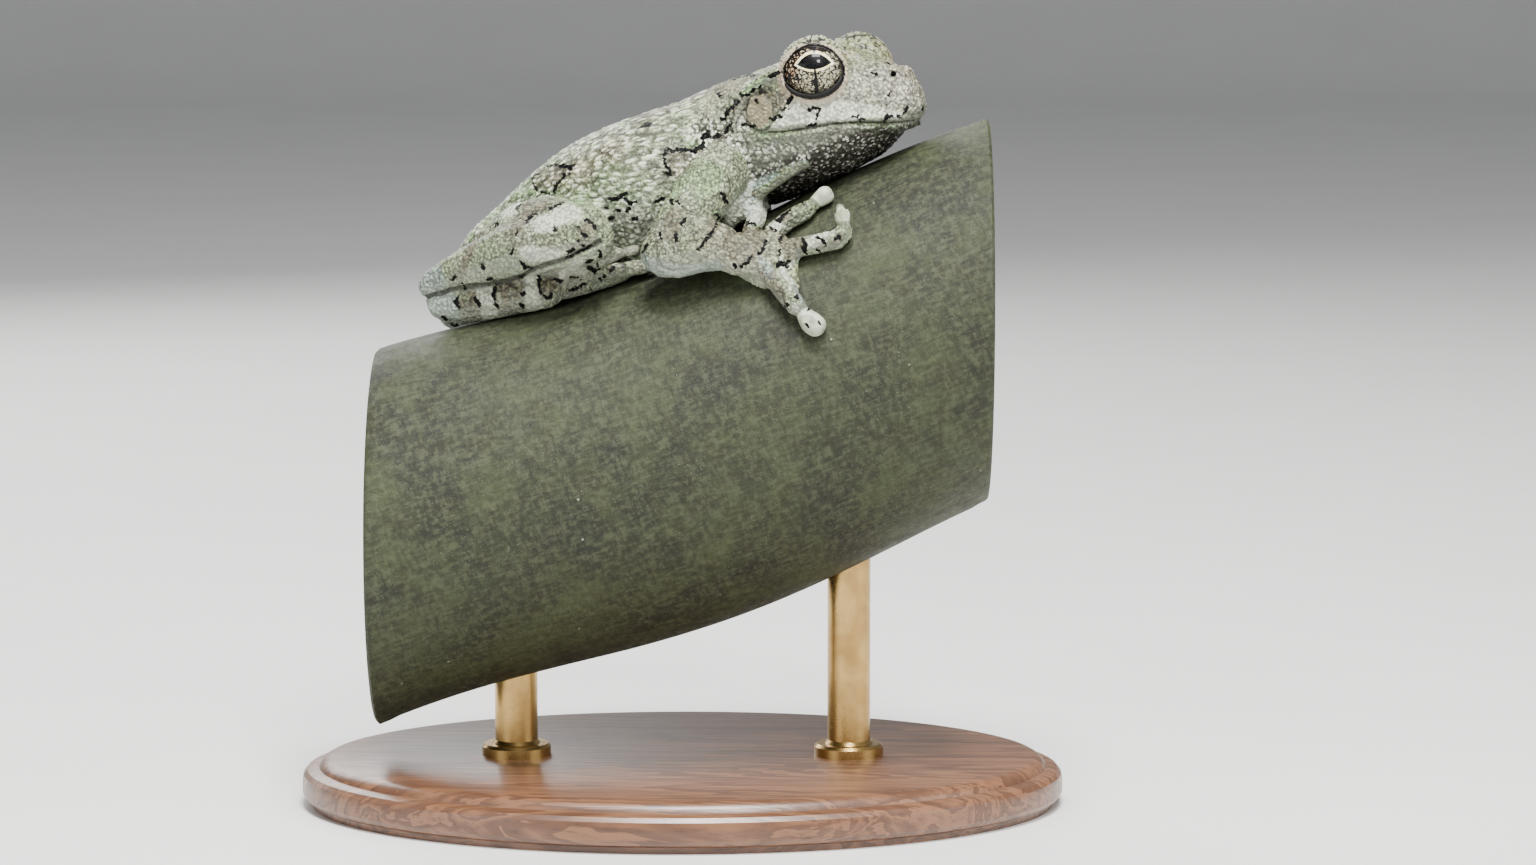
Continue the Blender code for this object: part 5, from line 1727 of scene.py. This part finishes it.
def irisFinish():
    material, tree, shader = newMaterial("iris")
    times, plus, minus, most = sumsIn(tree)
    place = kept(tree, "irisPlace", "Vector")
    split = put(tree, "ShaderNodeSeparateXYZ", {"Vector": place})
    warp = put(tree, "ShaderNodeTexNoise", {"Vector": place, "Scale": 3.5, "Detail": 2.0}).outputs["Color"]
    warp = put(tree, "ShaderNodeVectorMath", {0: warp, 1: (0.5, 0.5, 0.5)}, operation="SUBTRACT").outputs[0]
    warp = put(tree, "ShaderNodeVectorMath", {0: warp, "Scale": 0.34}, operation="SCALE").outputs[0]
    bent = put(tree, "ShaderNodeVectorMath", {0: place, 1: warp}, operation="ADD").outputs[0]
    x = minus(split.outputs["X"], 0.07)
    z = minus(split.outputs["Z"], 0.26)
    # The pupil is a lens lying flat: round above, a little flatter below.
    side = mathNode(tree, "POWER", mathNode(tree, "ABSOLUTE", mathNode(tree, "DIVIDE", x, 1.42)), 2.1)
    high = mathNode(tree, "DIVIDE", most(z, 0.0), 0.80)
    low = mathNode(tree, "DIVIDE", most(times(z, -1.0), 0.0), 0.54)
    reach = plus(side, plus(high, low))
    fray = times(minus(noise(tree, place, 0.25, 3.0), 0.5), 0.30)
    ring = ramp(tree, plus(reach, fray), 1.40, 1.28)
    pupil = ramp(tree, reach, 1.04, 0.97)
    # The net of dark lines over pale metal, closer and warmer behind and above.
    patch = noise(tree, bent, 0.55, 3.0)
    back = ramp(tree, plus(x, times(z, -0.25)), -0.4, -1.7)
    above = ramp(tree, z, 0.55, 1.3)
    warm = most(back, above)
    coarse = cells(tree, bent, 0.34, "DISTANCE_TO_EDGE")
    fine = cells(tree, bent, 0.19, "DISTANCE_TO_EDGE")
    thickness = times(plus(0.72, times(warm, 0.75)), patch)
    bold = ramp(tree, minus(coarse, times(thickness, 0.25)), -0.03, 0.05)
    thin = ramp(tree, minus(fine, times(thickness, 0.12)), -0.02, 0.06, 0.30, 1.0)
    net = times(bold, thin)
    metal = blendColour(tree, warm, rgb(172, 166, 136), rgb(182, 146, 114))
    metal = blendColour(tree, ramp(tree, patch, 0.35, 0.7), metal, rgb(204, 196, 168))
    dark = blendColour(tree, warm, rgb(14, 13, 9), rgb(16, 8, 5))
    colour = blendColour(tree, net, dark, metal)
    # Painted shade darkens the iris towards the opening's edge, and the plumb line lies below and above the
    # pupil.
    fromMiddle = put(tree, "ShaderNodeCombineXYZ", {
        "X": mathNode(tree, "DIVIDE", plus(x, 0.19), 2.45),
        "Y": mathNode(tree, "DIVIDE", plus(z, 0.44), 1.98),
    }).outputs[0]
    around = put(tree, "ShaderNodeVectorMath", {0: fromMiddle}, operation="LENGTH").outputs["Value"]
    speckle = noise(tree, place, 0.22, 2.0)
    # edge is painted shade towards the lids' edge.
    edge = ramp(tree, plus(around, times(speckle, 0.5)), 1.08, 1.20)
    wobble = times(minus(noise(tree, place, 0.4, 2.0), 0.5), 0.30)
    line = mathNode(tree, "ABSOLUTE", plus(minus(x, 0.06), wobble))
    widen = ramp(tree, z, -0.5, -1.9, 0.0, 0.09)
    line = ramp(tree, minus(line, widen), 0.12, 0.06)
    line = times(line, most(ramp(tree, z, 0.0, -0.3), ramp(tree, z, 0.78, 0.95)))
    glint = ramp(tree, noise(tree, place, 0.3), 0.3, 0.7)
    gold = blendColour(tree, glint, rgb(222, 204, 140), rgb(244, 238, 206))
    colour = blendColour(tree, times(edge, 0.92), colour, rgb(20, 14, 10))
    colour = blendColour(tree, ring, colour, gold)
    colour = blendColour(tree, line, colour, rgb(4, 3, 3))
    colour = blendColour(tree, pupil, colour, rgb(1, 1, 2))
    fill(tree, shader, {
        "Base Color": colour,
        "Roughness": 0.40,
        "Specular IOR Level": 0.08,
        "Coat Weight": 0.4,
        "Coat Roughness": 0.015,
        "Coat IOR": 1.34,
    })
    addBump(tree, shader, net, 0.35, 0.03)
    return material


def rimFinish(name, dark, pale, roughness):
    material, tree, shader = newMaterial(name)
    place = inMillimetres(tree)
    speck = noise(tree, place, 0.18, 3.0)
    colour = blendColour(tree, ramp(tree, speck, 0.4, 0.7), dark, pale)
    colour = blendColour(tree, ramp(tree, kept(tree, "outer"), -0.10, 0.20), colour, rgb(6, 5, 5))
    fill(tree, shader, {
        "Base Color": colour,
        "Roughness": roughness,
        "Specular IOR Level": 0.2,
        "Coat Weight": 0.12,
        "Coat Roughness": 0.3,
    })
    addBump(tree, shader, speck, 0.5, 0.03)
    return material


iris = irisFinish()
rimMaterial = rimFinish("eyeRim", rgb(5, 4, 4), rgb(16, 12, 9), 0.5)
lidMaterial = rimFinish("lowerLid", rgb(22, 20, 18), rgb(50, 46, 40), 0.7)
for ball in eyes:
    ball.data.materials.append(iris)
for i, ring in enumerate(rims):
    ring.data.materials.append(lidMaterial if i % 2 else rimMaterial)
print("eyes are finished")


# Finishes of the perch and the stand.


def barkFinish():
    material, tree, shader = newMaterial("bark")
    times, plus = sumsIn(tree)[:2]
    turn = (0.0, math.radians(limbPlace["rise"]), 0.0)
    place = inMillimetres(tree, turn)
    along = inMillimetres(tree, turn, (0.30, 1.0, 1.0))
    across = inMillimetres(tree, turn, (1.0, 0.45, 0.45))
    broad = noise(tree, place, 9.0, 4.0, 0.6, 0.4)
    patchy = noise(tree, place, 2.4, 5.0, 0.68)
    grain = noise(tree, along, 0.34, 4.0, 0.7)
    weave = noise(tree, across, 0.42, 4.0, 0.7)
    fine = noise(tree, place, 0.20, 4.0, 0.75)
    colour = blendColour(tree, ramp(tree, broad, 0.36, 0.64), rgb(26, 29, 19), rgb(44, 50, 30))
    colour = blendColour(tree, ramp(tree, patchy, 0.38, 0.70, 0.0, 0.7), colour, rgb(40, 38, 27))
    moss = times(ramp(tree, noise(tree, place, 5.0, 6.0, 0.68), 0.44, 0.72), 0.60)
    colour = blendColour(tree, moss, colour, rgb(60, 68, 38))
    dark = times(ramp(tree, noise(tree, place, 1.7, 5.0, 0.7), 0.54, 0.74), 0.42)
    colour = blendColour(tree, dark, colour, rgb(22, 25, 22))
    texture = plus(times(grain, 0.5), times(weave, 0.5))
    colour = blendColour(tree, ramp(tree, texture, 0.44, 0.62, 0.0, 0.60), colour, rgb(74, 79, 56))
    colour = blendColour(tree, ramp(tree, texture, 0.46, 0.34, 0.0, 0.58), colour, rgb(22, 23, 16))
    flecks = ramp(tree, fine, 0.60, 0.70)
    where = ramp(tree, noise(tree, place, 4.0, 3.0), 0.46, 0.64)
    lichen = times(flecks, where)
    colour = blendColour(tree, times(lichen, 0.6), colour, rgb(158, 160, 140))
    dots = ramp(tree, cells(tree, place, 2.4), 0.06, 0.03)
    dots = times(dots, ramp(tree, noise(tree, place, 3.0, 2.0), 0.52, 0.60))
    colour = blendColour(tree, dots, colour, rgb(128, 130, 112))
    fill(tree, shader, {
        "Base Color": colour,
        "Roughness": ramp(tree, patchy, 0.3, 0.8, 0.55, 0.75),
        "Specular IOR Level": 0.30,
    })
    height = plus(times(texture, 0.8), times(fine, 0.4))
    height = plus(height, times(lichen, 0.6))
    height = plus(height, times(dots, 0.8))
    addBump(tree, shader, height, 0.9, 0.16)
    return material


def endGrainFinish():
    material, tree, shader = newMaterial("endGrain")
    times, plus = sumsIn(tree)[:2]
    place = inMillimetres(tree)
    heart = {"Vector": place, "Location": (0.0, 0.6, -31.2), "Scale": (0.0, 1.0, 0.94)}
    ringPlace = put(tree, "ShaderNodeMapping", heart).outputs[0]
    radius = put(tree, "ShaderNodeVectorMath", {0: ringPlace}, operation="LENGTH").outputs["Value"]
    wobble = times(noise(tree, place, 5.0, 3.0), 1.6)
    rings = mathNode(tree, "FRACT", mathNode(tree, "DIVIDE", plus(radius, wobble), 1.25))
    late = ramp(tree, rings, 0.55, 0.98)
    pores = noise(tree, place, 0.28, 3.0, 0.7)
    colour = blendColour(tree, noise(tree, place, 4.0, 3.0), rgb(196, 168, 124), rgb(214, 190, 148))
    colour = blendColour(tree, times(late, 0.6), colour, rgb(150, 112, 70))
    colour = blendColour(tree, times(ramp(tree, pores, 0.55, 0.7), 0.5), colour, rgb(128, 96, 62))
    fill(tree, shader, {
        "Base Color": colour,
        "Roughness": 0.72,
    })
    height = plus(pores, times(late, 0.5))
    addBump(tree, shader, height, 0.6, 0.08)
    return material


def walnutFinish():
    material, tree, shader = newMaterial("walnut")
    times = sumsIn(tree)[0]
    place = inMillimetres(tree, (0.0, 0.0, 0.06), (0.10, 1.0, 1.0))
    wide = noise(tree, place, 5.0, 4.0, 0.55, 1.4)
    bands = mathNode(tree, "FRACT", times(wide, 7.0))
    fibres = noise(tree, inMillimetres(tree, (0.0, 0.0, 0.06), (0.05, 1.0, 1.0)), 0.35, 4.0, 0.7)
    colour = blendColour(tree, ramp(tree, bands, 0.1, 0.9), rgb(86, 56, 38), rgb(120, 82, 56))
    colour = blendColour(tree, times(ramp(tree, fibres, 0.5, 0.7), 0.6), colour, rgb(54, 34, 24))
    fill(tree, shader, {
        "Base Color": colour,
        "Roughness": ramp(tree, fibres, 0.3, 0.7, 0.34, 0.46),
        "Coat Weight": 0.3,
        "Coat Roughness": 0.25,
    })
    addBump(tree, shader, fibres, 0.25, 0.05)
    return material


def brassFinish():
    material, tree, shader = newMaterial("agedBrass")
    place = inMillimetres(tree)
    brushed = noise(tree, inMillimetres(tree, (0.0, 0.0, 0.0), (1.0, 1.0, 0.06)), 0.16, 3.0, 0.6)
    tarnish = noise(tree, place, 2.6, 4.0, 0.6)
    colour = blendColour(tree, ramp(tree, tarnish, 0.35, 0.75), rgb(190, 158, 98), rgb(168, 134, 80))
    fill(tree, shader, {
        "Base Color": colour,
        "Metallic": 1.0,
        "Roughness": ramp(tree, tarnish, 0.3, 0.75, 0.26, 0.34),
    })
    addBump(tree, shader, brushed, 0.15, 0.02)
    return material


perch.data.materials.append(barkFinish())
perch.data.materials.append(endGrainFinish())
limbEnd = limbPlace["halfLength"] * mm
for face in perch.data.polygons:
    atEnd = abs(abs(face.center.x) - limbEnd) < 0.35 * mm and abs(face.normal.x) > 0.75
    face.material_index = 1 if atEnd else 0
base.data.materials.append(walnutFinish())
brass = brassFinish()
for rod in rods:
    rod.data.materials.append(brass)
print("perch and stand are finished")
